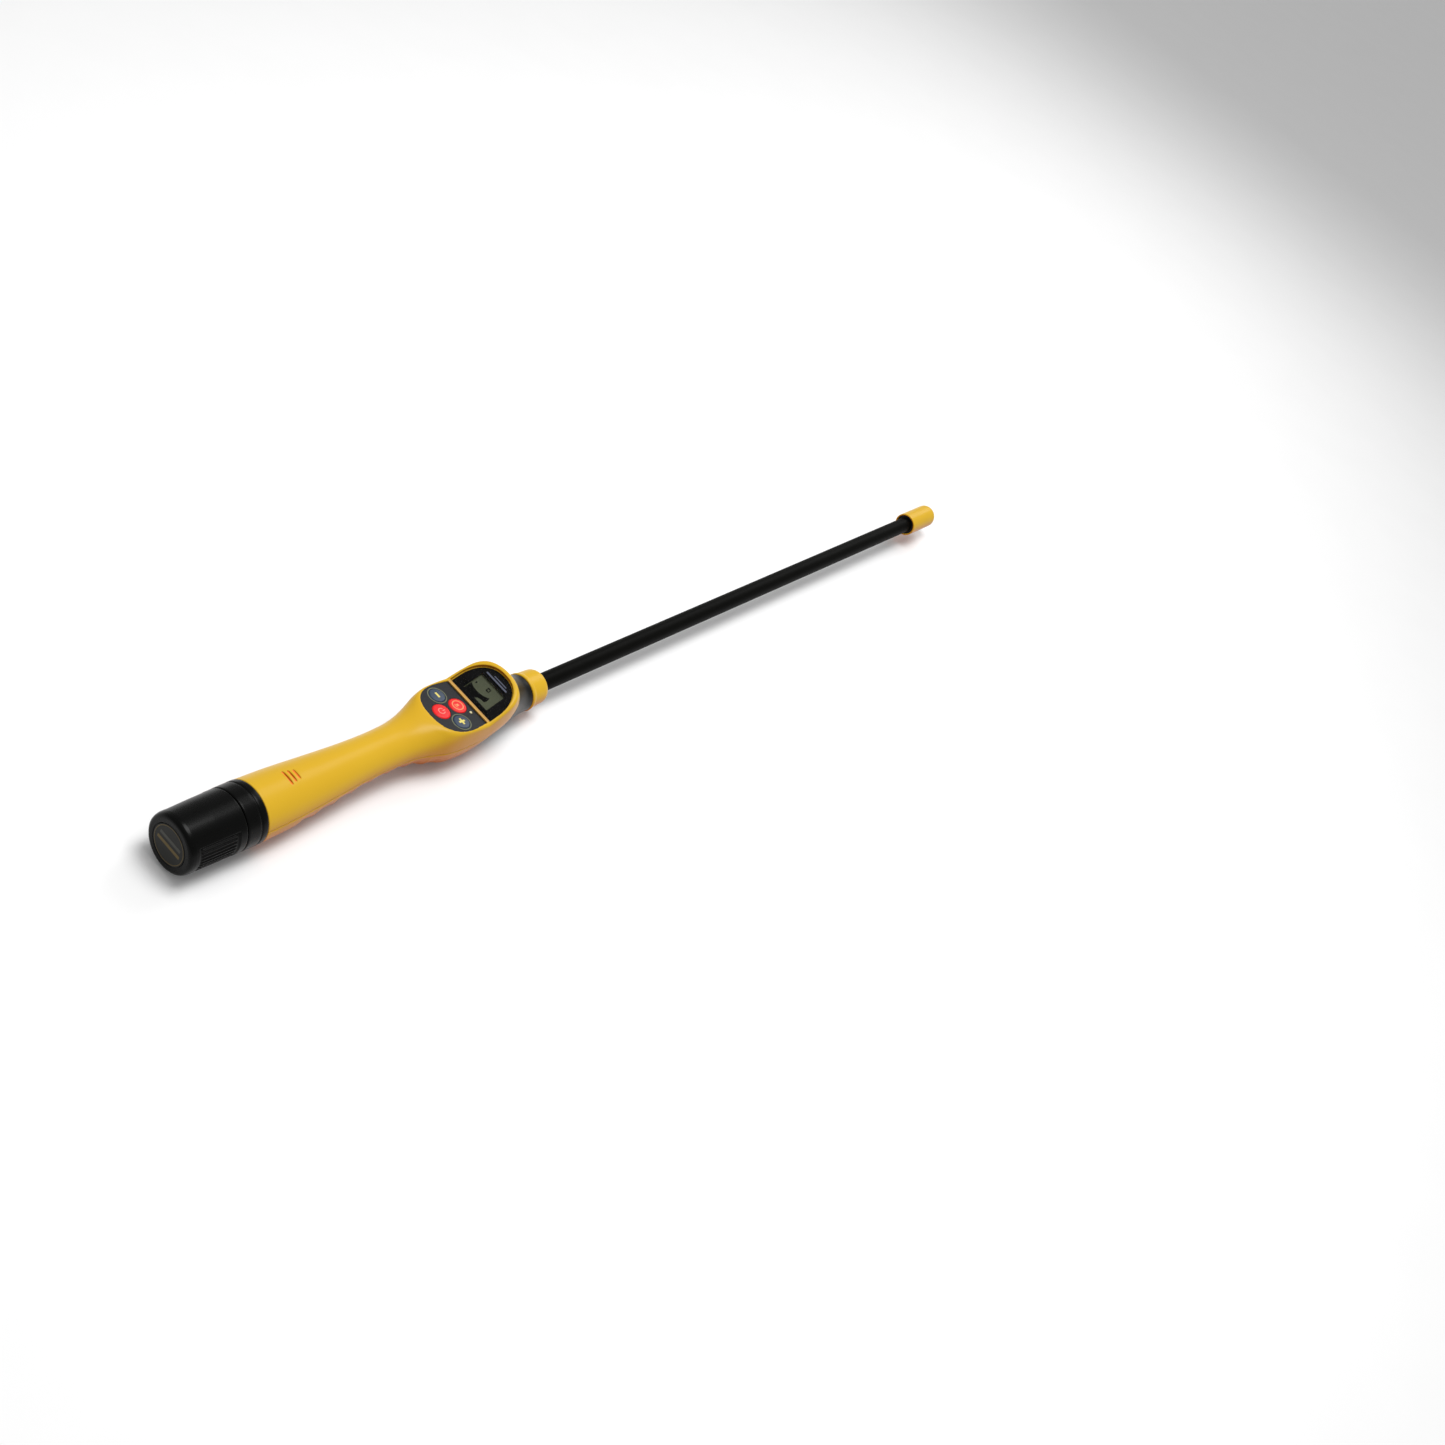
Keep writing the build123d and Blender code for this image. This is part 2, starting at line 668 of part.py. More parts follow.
CHIPS = [
    (-24.0, 0.0, 10.0, 10.0, 1.5),
    (-13.0, 9.0, 5.0, 6.0, 1.6),
    (-13.0, -9.0, 6.0, 5.0, 1.6),
    (-33.0, 11.0, 6.5, 6.5, 2.8),
    (-33.0, -12.0, 5.0, 8.0, 2.2),
]
with BuildPart() as board_chips:
    for along, side, length, width, height in CHIPS:
        with BuildSketch(KEYPAD.offset(-BOARD_FLOOR)):
            with Locations((along, side)):
                Rectangle(length, width)
        extrude(amount=-height)
finish(board_chips.part, "board_chips")

CONNECTOR_HEIGHT = 5.0
with BuildPart() as power_connector:
    with BuildSketch(KEYPAD.offset(-BOARD_FLOOR)):
        with Locations((-37.5, 0)):
            Rectangle(5.0, 12.0)
    extrude(amount=-CONNECTOR_HEIGHT)
finish(power_connector.part, "power_connector")

with BuildPart() as sensor_connector:
    with BuildSketch(KEYPAD.offset(-BOARD_FLOOR)):
        with Locations((-6.5, 5.3)):
            Rectangle(5.0, 8.0)
    extrude(amount=-CONNECTOR_HEIGHT)
finish(sensor_connector.part, "sensor_connector")

# ---- display ---------------------------------------------------------------
GLASS_DEPTH = 5.7
GLASS_THICKNESS = 2.6
LIGHT_THICKNESS = 1.6
FRAME_WALL = 1.2

with BuildPart() as display_window:
    add(face_slab(DISPLAY, display_outline(GAP), WINDOW_DEPTH, WINDOW_FLOOR))
finish(display_window.part, "display_window")

with BuildPart() as display_mask:
    add(face_slab(DISPLAY, display_outline(GAP), WINDOW_FLOOR, MASK_FLOOR))
    with BuildSketch(DISPLAY):
        with Locations((LCD_CENTRE, 0)):
            Rectangle(LCD_LENGTH, LCD_WIDTH)
    extrude(amount=-MASK_FLOOR - 1, mode=Mode.SUBTRACT)
finish(display_mask.part, "display_mask")


def display_block(depth, floor, margin):
    """Rectangular block of the display module between two depths."""
    with BuildPart() as block:
        with BuildSketch(DISPLAY.offset(-depth)):
            with Locations((LCD_CENTRE, 0)):
                Rectangle(LCD_LENGTH + 2 * margin, LCD_WIDTH + 2 * margin)
        extrude(amount=depth - floor)
    return block.part


GLASS_FLOOR = GLASS_DEPTH + GLASS_THICKNESS
LIGHT_FLOOR = GLASS_FLOOR + LIGHT_THICKNESS
finish(display_block(GLASS_DEPTH, GLASS_FLOOR, 2.0), "lcd_panel")
finish(display_block(GLASS_FLOOR, LIGHT_FLOOR, 2.0), "lcd_backlight")

with BuildPart() as lcd_frame:
    add(display_block(GLASS_DEPTH, LIGHT_FLOOR + FRAME_WALL, 2.0 + FRAME_WALL))
    add(display_block(GLASS_DEPTH, LIGHT_FLOOR, 2.0), mode=Mode.SUBTRACT)
finish(lcd_frame.part, "lcd_frame")

with BuildPart() as lcd_ribbon:
    with BuildSketch(AXIAL):
        with BuildLine():
            Polyline((293.9, 12.3), (294.1, 11.6), (303.2, 12.8), (303.2, 13.4), close=True)
        make_face()
    extrude(amount=8.0, both=True)
finish(lcd_ribbon.part, "lcd_ribbon")

# ---- speaker ---------------------------------------------------------------
with BuildPart() as speaker:
    with BuildSketch(level(SPEAKER_TOP - 5.4)):
        with Locations((SPEAKER_STATION, 0)):
            Circle(8.0)
    extrude(amount=2.6)
    with BuildSketch(level(SPEAKER_TOP - 2.8)):
        with Locations((SPEAKER_STATION, 0)):
            Circle(SPEAKER_RADIUS)
    extrude(amount=2.8)
    with BuildSketch(level(SPEAKER_TOP)):
        with Locations((SPEAKER_STATION, 0)):
            Circle(SPEAKER_RADIUS - 2.0)
    extrude(amount=-1.2, mode=Mode.SUBTRACT)
finish(speaker.part, "speaker")

with BuildPart() as speaker_mesh:
    with BuildSketch(level(SPEAKER_TOP)):
        with Locations((SPEAKER_STATION, 0)):
            Circle(SPEAKER_RADIUS - 0.5)
    extrude(amount=0.4)
finish(speaker_mesh.part, "speaker_mesh")

# ---- nose, collar and tube -------------------------------------------------
SPIGOT_RADIUS = 12.2
NOSE_TIP = 388.0
TUBE_FIT = TUBE_RADIUS + 0.05

NOSE_HOLLOW_START = 300.0

with BuildPart() as nose_cone:
    add(outer_form)
    split(bisect_by=parting_plane(), keep=Keep.TOP)
    add(turned([(NOSE_HOLLOW_START, 0), (NOSE_HOLLOW_START, 15.4), (330.0, 14.8),
                (TUBE_START, 13.0), (TUBE_START, 0)]), mode=Mode.SUBTRACT)
    add(turned([(NOSE_END - 0.5, 0), (NOSE_END - 0.5, SPIGOT_RADIUS), (NOSE_TIP - 0.6, SPIGOT_RADIUS),
                (NOSE_TIP, SPIGOT_RADIUS - 0.6), (NOSE_TIP, 0)]))
    add(turned([(TUBE_START - 1, 0), (TUBE_START - 1, TUBE_FIT), (NOSE_TIP + 1, TUBE_FIT),
                (NOSE_TIP + 1, 0)]), mode=Mode.SUBTRACT)
finish(nose_cone.part, "nose_cone")

collar_nut = turned([
    (NOSE_END + 0.2, SPIGOT_RADIUS + 0.05), (NOSE_END + 0.2, 16.8), (NOSE_END + 0.8, 17.3),
    (NOSE_END + 3.0, 17.3), (NOSE_END + 4.2, 16.4), (389.0, 15.9), (392.2, 14.9),
    (COLLAR_END, 13.2), (COLLAR_END, 9.0), (392.0, 9.0), (392.0, SPIGOT_RADIUS + 0.05),
])
finish(collar_nut, "collar_nut")

tube_seal = turned([
    (NOSE_TIP + 0.1, TUBE_FIT), (NOSE_TIP + 0.1, SPIGOT_RADIUS - 0.2),
    (391.9, SPIGOT_RADIUS - 0.2), (391.9, TUBE_FIT),
])
finish(tube_seal, "tube_seal")

TUBE_BORE = TUBE_RADIUS - TUBE_WALL
TUBE_END = 1066.0
sensor_tube = turned([
    (TUBE_START, TUBE_BORE), (TUBE_START, TUBE_RADIUS), (TUBE_END, TUBE_RADIUS),
    (TUBE_END, TUBE_BORE),
])
finish(sensor_tube, "sensor_tube")

# ---- tip -------------------------------------------------------------------
TIP_CORNER = 9.0
TIP_MOUTH = 10.8

with BuildPart() as tip_cap:
    with BuildSketch(AXIAL):
        with BuildLine():
            Polyline(
                (LENGTH, 0), (TUBE_END + 0.2, 0), (TUBE_END + 0.2, TUBE_FIT),
                (1040.0, TUBE_FIT), (1040.0, TIP_MOUTH), (TIP_START, TIP_MOUTH),
                (TIP_START, TIP_RADIUS - 0.4), (TIP_START + 0.4, TIP_RADIUS),
                (LENGTH - TIP_CORNER, TIP_RADIUS),
            )
            ThreePointArc(
                (LENGTH - TIP_CORNER, TIP_RADIUS),
                (LENGTH - TIP_CORNER * 0.293, TIP_RADIUS - TIP_CORNER * 0.293),
                (LENGTH, TIP_RADIUS - TIP_CORNER),
            )
            Line((LENGTH, TIP_RADIUS - TIP_CORNER), (LENGTH, 0))
        make_face()
    revolve(axis=MAIN_AXIS)
finish(tip_cap.part, "tip_cap")

tip_bushing = turned([
    (TIP_START + 1.5, TUBE_FIT), (TIP_START + 1.5, TIP_MOUTH - 0.05),
    (1039.9, TIP_MOUTH - 0.05), (1039.9, TUBE_FIT),
])
finish(tip_bushing, "tip_bushing")

# ---- inside the tube -------------------------------------------------------
RAIL_START = 380.0
RAIL_END = 1056.0
RAIL_TOP = -3.0
RAIL_THICKNESS = 1.6
RAIL_WIDTH = 9.0
BOBBIN_LENGTH = 46.0
REAR_SENSOR = 490.0
FRONT_SENSOR = 1004.0
CABLE_SIDE = 5.2
CABLE_HEIGHT = 0.2
CABLE_RADIUS = 0.9

with BuildPart() as sensor_rail:
    with BuildSketch(across(RAIL_START)):
        with Locations((0, RAIL_TOP - RAIL_THICKNESS / 2)):
            Rectangle(RAIL_WIDTH, RAIL_THICKNESS)
    extrude(amount=RAIL_END - RAIL_START)
finish(sensor_rail.part, "sensor_rail")

for name, start in (("rear", REAR_SENSOR), ("front", FRONT_SENSOR)):
    with BuildPart() as bobbin:
        with BuildSketch(across(start)):
            with Locations((0, 1.0)):
                Circle(2.4)
        extrude(amount=BOBBIN_LENGTH)
        for flange in (start, start + BOBBIN_LENGTH - 1.5):
            with BuildSketch(across(flange)):
                with Locations((0, 1.0)):
                    Circle(4.0)
            extrude(amount=1.5)
        with BuildSketch(across(start)):
            with Locations((0, 1.0)):
                Circle(1.05)
        extrude(amount=BOBBIN_LENGTH, mode=Mode.SUBTRACT)
    finish(bobbin.part, f"{name}_sensor_bobbin")
    with BuildPart() as winding:
        with BuildSketch(across(start + 1.5)):
            with Locations((0, 1.0)):
                Circle(3.7)
                Circle(2.4, mode=Mode.SUBTRACT)
        extrude(amount=BOBBIN_LENGTH - 3.0)
    finish(winding.part, f"{name}_sensor_winding")
    with BuildPart() as core:
        with BuildSketch(across(start + 0.5)):
            with Locations((0, 1.0)):
                Circle(1.0)
        extrude(amount=BOBBIN_LENGTH - 1.0)
    finish(core.part, f"{name}_sensor_core")

with BuildPart() as tube_spacers:
    for station in (400.0, 470.0, 560.0, 650.0, 740.0, 830.0, 920.0, 985.0):
        with BuildSketch(across(station)):
            Circle(TUBE_BORE - 0.1)
            with Locations((0, RAIL_TOP - RAIL_THICKNESS / 2)):
                Rectangle(RAIL_WIDTH + 0.1, RAIL_THICKNESS + 0.1, mode=Mode.SUBTRACT)
            with Locations((CABLE_SIDE, CABLE_HEIGHT)):
                Circle(CABLE_RADIUS + 0.1, mode=Mode.SUBTRACT)
            with Locations((TUBE_BORE, CABLE_HEIGHT)):
                Rectangle(2 * (TUBE_BORE - CABLE_SIDE), 1.2, mode=Mode.SUBTRACT)
        extrude(amount=8.0)
finish(tube_spacers.part, "tube_spacers")


def wire(side, radius, bend, points):
    """Insulated wire in a plane along the wand: straight runs and round bends."""
    plane = Plane(
        origin=(CAP_FACE, side, AXIS_HEIGHT), x_dir=(1, 0, 0), z_dir=(0, -1, 0)
    )
    start = Vector(*points[0])
    heading = Vector(*points[1]) - start
    with BuildPart() as strand:
        with BuildLine(plane) as route:
            FilletPolyline(*points, radius=bend)
        direction = plane.x_dir * heading.X + plane.y_dir * heading.Y
        first = Plane(origin=route.line @ 0, z_dir=direction)
        with BuildSketch(first):
            Circle(radius)
        sweep()
    return strand.part


sensor_cable = wire(
    CABLE_SIDE, CABLE_RADIUS, 26.0,
    [(292.6, 7.6), (318.0, 6.6), (350.0, CABLE_HEIGHT), (FRONT_SENSOR - 1.0, CABLE_HEIGHT)],
)
finish(sensor_cable, "sensor_cable")
battery_lead = wire(-4.8, 0.9, 40.0, [(PLATE_END, 4.0), (150.0, 4.0), (225.0, 6.5), (254.9, 12.9)])
finish(battery_lead, "battery_lead")
speaker_lead = wire(4.8, 0.7, 40.0, [(113.6, 11.6), (160.0, 9.5), (225.0, 9.0), (254.9, 12.9)])
finish(speaker_lead, "speaker_lead")
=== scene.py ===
"""Looks for the magnetic locator wand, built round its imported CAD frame."""

import math

import bmesh
import bpy
import numpy as np
from mathutils import Matrix, Vector


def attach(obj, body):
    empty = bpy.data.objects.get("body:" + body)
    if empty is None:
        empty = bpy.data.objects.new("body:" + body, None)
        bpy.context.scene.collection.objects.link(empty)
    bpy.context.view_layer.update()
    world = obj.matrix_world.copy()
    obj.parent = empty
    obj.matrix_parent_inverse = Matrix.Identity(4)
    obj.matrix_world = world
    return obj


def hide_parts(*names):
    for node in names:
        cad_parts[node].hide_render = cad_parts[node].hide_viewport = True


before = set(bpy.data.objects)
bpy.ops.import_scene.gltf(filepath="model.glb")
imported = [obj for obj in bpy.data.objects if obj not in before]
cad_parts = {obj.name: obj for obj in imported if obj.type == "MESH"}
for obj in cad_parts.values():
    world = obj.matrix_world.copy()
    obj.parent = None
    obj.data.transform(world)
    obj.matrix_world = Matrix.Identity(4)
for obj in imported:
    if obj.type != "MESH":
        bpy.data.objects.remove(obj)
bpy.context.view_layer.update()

# ---- driving dimensions, in mm as in the CAD; stations run from the cap's end --
MM = 0.001
LENGTH = 1080.0
AXIS_HEIGHT = 26.2
WALL = 2.8
SEAM_HEIGHT = 3.0
DIVIDER = (296.5, 22.5)
KEYPAD_SLOPE = -4.9
DISPLAY_SLOPE = 24.9
PARTING = (324.7, 0.473)
BODY_START = 70.0
NOSE_END = 371.0
OVERLAY_DEPTH = 1.2
OVERLAY_FLOOR = 2.0
WINDOW_DEPTH = 2.0
WINDOW_FLOOR = 3.5
MASK_FLOOR = 3.8
KEYPAD_DECK = 4.0
DISPLAY_DECK = 5.5
FACE_START = 225.0
LCD_CENTRE = 17.0
LCD_LENGTH = 20.0
LCD_WIDTH = 29.4
# Keys: steps forward of the divider and left of the middle, and the radius.
BUTTONS = {
    "volume_button": (-13.1, 0.0, 8.25),
    "power_button": (-32.7, 0.0, 8.25),
    "minus_button": (-23.1, 15.6, 7.5),
    "plus_button": (-23.1, -15.6, 7.5),
}
# Vent slots: station and half length. Housing screws: station and height of the seat.
VENTS = ((101.0, 7.0), (105.5, 5.8), (110.0, 4.7))
SCREW_STATIONS = ((128.0, -17.0), (188.0, -10.0), (248.0, -15.0))

# Cross-sections of the handle and head: station, half width, top, bottom,
# height of the widest point, squareness of the upper and the lower half.
BODY_SECTIONS = np.array([
    (70.0, 25.6, 25.5, -25.9, 0.0, 2.0, 2.0),
    (100.0, 24.6, 24.4, -25.9, 0.0, 2.0, 2.0),
    (125.0, 22.9, 22.9, -24.6, 0.3, 2.0, 2.0),
    (150.0, 20.9, 21.9, -20.8, 0.8, 2.0, 2.0),
    (175.0, 19.0, 21.4, -17.2, 2.0, 2.0, 2.0),
    (205.0, 18.3, 21.3, -15.4, 3.2, 2.0, 2.0),
    (222.0, 18.9, 21.9, -16.4, 4.0, 2.1, 2.1),
    (236.0, 21.1, 24.0, -18.9, 4.8, 2.3, 2.2),
    (248.0, 24.4, 27.2, -22.2, 6.0, 2.7, 2.3),
    (256.0, 26.8, 31.0, -24.8, 7.0, 3.1, 2.3),
    (266.0, 28.3, 34.5, -26.4, 8.0, 3.4, 2.3),
    (282.0, 29.0, 38.5, -27.4, 9.0, 3.4, 2.3),
    (298.0, 28.7, 44.0, -25.8, 11.0, 3.3, 2.2),
    (312.0, 28.1, 48.0, -21.8, 15.0, 3.2, 2.1),
    (323.0, 26.8, 49.0, -19.2, 17.5, 3.0, 2.1),
    (331.0, 24.8, 46.0, -18.3, 16.0, 2.5, 2.1),
    (336.0, 23.3, 40.5, -18.0, 14.0, 2.3, 2.1),
    (343.0, 21.2, 32.6, -17.6, 9.5, 2.2, 2.1),
    (353.0, 18.6, 24.8, -17.1, 4.2, 2.1, 2.0),
    (363.0, 16.9, 18.8, -16.7, 1.2, 2.0, 2.0),
    (371.0, 16.5, 16.5, -16.5, 0.0, 2.0, 2.0),
])


# ---- places ------------------------------------------------------------------
def place(station, y, z):
    """Row-frame point in metres from a station, a side and a height over the axis."""
    return Vector(((station - LENGTH / 2) * MM, y * MM, (z + AXIS_HEIGHT) * MM))


def sloping(degrees):
    """Matrix of a plane through the divider: X forward along the face, Y left."""
    return Matrix.Translation(place(DIVIDER[0], 0, DIVIDER[1])) @ Matrix.Rotation(
        -math.radians(degrees), 4, "Y"
    )


KEYPAD = sloping(KEYPAD_SLOPE)
DISPLAY = sloping(DISPLAY_SLOPE)
AXIS = Matrix.Translation(place(0, 0, 0))


def on_plane(plane, x, y, z):
    """Row-frame point from local millimetres on a sloping plane."""
    return plane @ Vector((x * MM, y * MM, z * MM))


# ---- meshes ------------------------------------------------------------------
def new_object(name, points, faces, smooth=True):
    """Object from row-frame points in metres."""
    mesh = bpy.data.meshes.new(name)
    mesh.from_pydata([tuple(p) for p in points], [], faces)
    mesh.validate()
    work = bmesh.new()
    work.from_mesh(mesh)
    bmesh.ops.remove_doubles(work, verts=work.verts, dist=1e-7)
    bmesh.ops.recalc_face_normals(work, faces=work.faces)
    work.to_mesh(mesh)
    work.free()
    if smooth:
        mesh.shade_smooth()
    obj = bpy.data.objects.new(name, mesh)
    bpy.context.scene.collection.objects.link(obj)
    return obj


def apply_modifiers(obj):
    """Bake an object's modifiers into its mesh."""
    graph = bpy.context.evaluated_depsgraph_get()
    mesh = bpy.data.meshes.new_from_object(obj.evaluated_get(graph))
    obj.modifiers.clear()
    old = obj.data
    obj.data = mesh
    bpy.data.meshes.remove(old)


def soften(obj, width):
    """Round an object's sharp edges and even out its shading."""
    bevel = obj.modifiers.new("rounded edges", "BEVEL")
    bevel.width = width * MM
    bevel.segments = 2
    bevel.limit_method = "ANGLE"
    bevel.angle_limit = math.radians(35)
    bevel.harden_normals = True
    apply_modifiers(obj)


def lathe(name, profile, segments, matrix=AXIS, reshape=None):
    """Solid turned about the matrix's X axis from (station, radius) points."""
    points, faces = [], []
    count = len(profile)
    for step in range(segments):
        angle = 2 * math.pi * step / segments
        for station, radius in profile:
            if reshape:
                radius = reshape(station, radius, angle)
            local = Vector((station, radius * math.cos(angle), radius * math.sin(angle)))
            points.append(matrix @ (local * MM))
    for step in range(segments):
        after = (step + 1) % segments
        for k in range(count):
            nxt = (k + 1) % count
            here, ahead = step * count, after * count
            faces.append((here + k, here + nxt, ahead + nxt, ahead + k))
    return new_object(name, points, faces)


def dense(profile, step):
    """The same profile with extra points along its long runs."""
    result = []
    for (x0, r0), (x1, r1) in zip(profile, profile[1:] + profile[:1]):
        pieces = max(1, round(math.hypot(x1 - x0, r1 - r0) / step))
        for k in range(pieces):
            result.append((x0 + (x1 - x0) * k / pieces, r0 + (r1 - r0) * k / pieces))
    return result


def slab(name, plane, outline, top, bottom, holes=()):
    """Plate between two heights over a plane, with (x, y, radius) holes cut out."""
    count = len(outline)
    points = [on_plane(plane, x, y, top) for x, y in outline]
    points += [on_plane(plane, x, y, bottom) for x, y in outline]
    faces = [tuple(range(count)), tuple(reversed(range(count, 2 * count)))]
    faces += [(k, (k + 1) % count, count + (k + 1) % count, count + k) for k in range(count)]
    obj = new_object(name, points, faces, smooth=False)
    for x, y, radius in holes:
        cut(obj, pin(plane, x, y, radius, top + 1, bottom - 1))
    return obj


def pin(plane, x, y, radius, top, bottom, segments=72):
    """Cutting cylinder square to a plane."""
    ring = [2 * math.pi * k / segments for k in range(segments)]
    outline = [(x + radius * math.cos(a), y + radius * math.sin(a)) for a in ring]
    return slab("cutter", plane, outline, top, bottom)


def cut(obj, cutter):
    """Take a cutter away from an object and delete it."""
    boolean = obj.modifiers.new("cut", "BOOLEAN")
    boolean.operation = "DIFFERENCE"
    boolean.solver = "EXACT"
    boolean.object = cutter
    apply_modifiers(obj)
    bpy.data.objects.remove(cutter)


def moulded(obj, voxel, rounds):
    """Give a cut solid the soft edges of a moulding: an even mesh, lightly smoothed."""
    remesh = obj.modifiers.new("even mesh", "REMESH")
    remesh.mode = "VOXEL"
    remesh.voxel_size = voxel * MM
    relax = obj.modifiers.new("relax", "SMOOTH")
    relax.factor = 0.5
    relax.iterations = rounds
    apply_modifiers(obj)
    obj.data.shade_smooth()


# ---- body surface --------------------------------------------------------------
def sections_at(stations):
    """Section values at stations, on smooth curves through the given ones."""
    known = BODY_SECTIONS[:, 0]
    values = []
    for column in BODY_SECTIONS.T[1:]:
        slopes = np.gradient(column, known)
        index = np.clip(np.searchsorted(known, stations, side="right") - 1, 0, len(known) - 2)
        span = known[index + 1] - known[index]
        t = (stations - known[index]) / span
        values.append(
            column[index] * (2 * t**3 - 3 * t**2 + 1) + slopes[index] * span * (t**3 - 2 * t**2 + t)
            + column[index + 1] * (3 * t**2 - 2 * t**3) + slopes[index + 1] * span * (t**3 - t**2)
        )
    return values


def face_height(station, keypad_drop=0.0, display_drop=0.0):
    """Height of the face over the axis: the keypad plane meets the rising display."""
    run = station - DIVIDER[0]
    keypad = math.radians(KEYPAD_SLOPE)
    display = math.radians(DISPLAY_SLOPE)
    low = DIVIDER[1] + run * math.tan(keypad) - keypad_drop / math.cos(keypad)
    high = DIVIDER[1] + run * math.tan(display) - display_drop / math.cos(display)
    return np.maximum(low, high)


def body_mesh(name, inset, keypad_drop, display_drop, rounding, ripple=0.0):
    """Closed body form, drawn in by the inset and cut off at the face."""
    stations = np.arange(BODY_START, NOSE_END + 0.01, 1.0)
    angles = np.linspace(0, 2 * np.pi, 192, endpoint=False)
    width, top, bottom, widest, upper, lower = (v[:, None] for v in sections_at(stations))
    middle = 3.0
    cosine, sine = np.cos(angles)[None], np.sin(angles)[None]
    ceiling = face_height(stations, keypad_drop, display_drop)[:, None]
    near = np.zeros((len(stations), len(angles)))
    far = np.full_like(near, 80.0)
    for _ in range(40):
        reach = (near + far) / 2
        y, z = reach * cosine, middle + reach * sine
        above = z >= widest
        square = np.where(above, upper, lower)
        height = np.where(above, top - inset - widest, widest - bottom - inset)
        share = (np.abs(y / (width - inset)) ** square + np.abs((z - widest) / height) ** square)
        outside = (share ** (1 / square) - 1) * (width - inset)
        over = np.where(stations[:, None] > FACE_START, z - ceiling, -50.0)
        blend = np.maximum(rounding - np.abs(outside - over), 0) / rounding
        distance = np.maximum(outside, over) + blend**2 * rounding / 4
        inside = distance < 0
        near = np.where(inside, reach, near)
        far = np.where(inside, far, reach)
    reach = (near + far) / 2
    if ripple:
        under_side = np.clip(-sine * 2.4 - 0.15, 0, 1)
        reach = reach - ripple * finger_ripple(stations)[:, None] * under_side
    y, z = reach * cosine, np.maximum(middle + reach * sine, -AXIS_HEIGHT + inset + 0.01)
    points, faces = [], []
    for row, station in enumerate(stations):
        points += [place(station, y[row, k], z[row, k]) for k in range(len(angles))]
    count = len(angles)
    for row in range(len(stations) - 1):
        for k in range(count):
            after = (k + 1) % count
            here, ahead = row * count, (row + 1) * count
            faces.append((here + k, here + after, ahead + after, ahead + k))
    faces.append(tuple(range(count)))
    faces.append(tuple((len(stations) - 1) * count + k for k in range(count)))
    return new_object(name, points, faces)


def finger_ripple(stations):
    """Depth share of the finger hollows along the underside, 0 on the ridges."""
    pitch, start, end = 20.0, 103.0, 263.0
    wave = np.abs(np.sin(np.pi * (stations - start) / pitch)) ** 0.8
    fade = np.clip((stations - start) / 4, 0, 1) * np.clip((end - stations) / 4, 0, 1)
    return wave * fade


def leaning_block(shift, forward):
    """Block that fills one side of the leaning parting plane."""
    station, lean = PARTING
    size = 120.0
    edge = [(station + shift + lean * z, z) for z in (-size, size)]
    back = station + (300.0 if forward else -400.0)
    outline = [edge[0], edge[1], (back, size), (back, -size)]
    points = [place(x, y, z) for y in (-size, size) for x, z in outline]
    faces = [(0, 1, 2, 3), (7, 6, 5, 4), (0, 4, 5, 1), (1, 5, 6, 2), (2, 6, 7, 3), (3, 7, 4, 0)]
    return new_object("cutter", points, faces, smooth=False)


def box_between(low, high):
    """Block between two corners given as station, side and height."""
    ends = list(zip(low, high))
    points = [place(x, y, z) for x in ends[0] for y in ends[1] for z in ends[2]]
    faces = [(0, 1, 3, 2), (4, 6, 7, 5), (0, 4, 5, 1), (2, 3, 7, 6), (0, 2, 6, 4), (1, 5, 7, 3)]
    return new_object("cutter", points, faces, smooth=False)


def keypad_outline(inset, count=48):
    """Keypad opening: straight at the divider, round at the rear."""
    side = []
    for k in range(count + 1):
        share = math.sin(0.5 * math.pi * k / count)
        along = -1.6 - inset + (-45.8 + inset + 1.6 + inset) * share
        bend = min(1.0, max(0.0, (-along - 16.0) / (29.8 - inset)))
        width = (26.0 - inset) * (1 - bend**2.5) ** (1 / 2.5) - 0.09 * max(0.0, along + 16.0)
        side.append((along, max(width, 0.0)))
    return side + [(along, -width) for along, width in reversed(side[:-1])]


def display_outline(inset, count=48):
    """Display opening: straight at the divider, round at the front."""
    side = []
    for k in range(count + 1):
        share = math.sin(0.5 * math.pi * k / count)
        along = 1.6 + inset + (39.1 - inset - 1.6 - inset) * share
        bend = min(1.0, max(0.0, (along - 8.0) / (31.1 - inset)))
        side.append((along, (25.0 - inset) * (1 - bend**2.3) ** (1 / 2.3)))
    return side + [(along, -width) for along, width in reversed(side[:-1])]


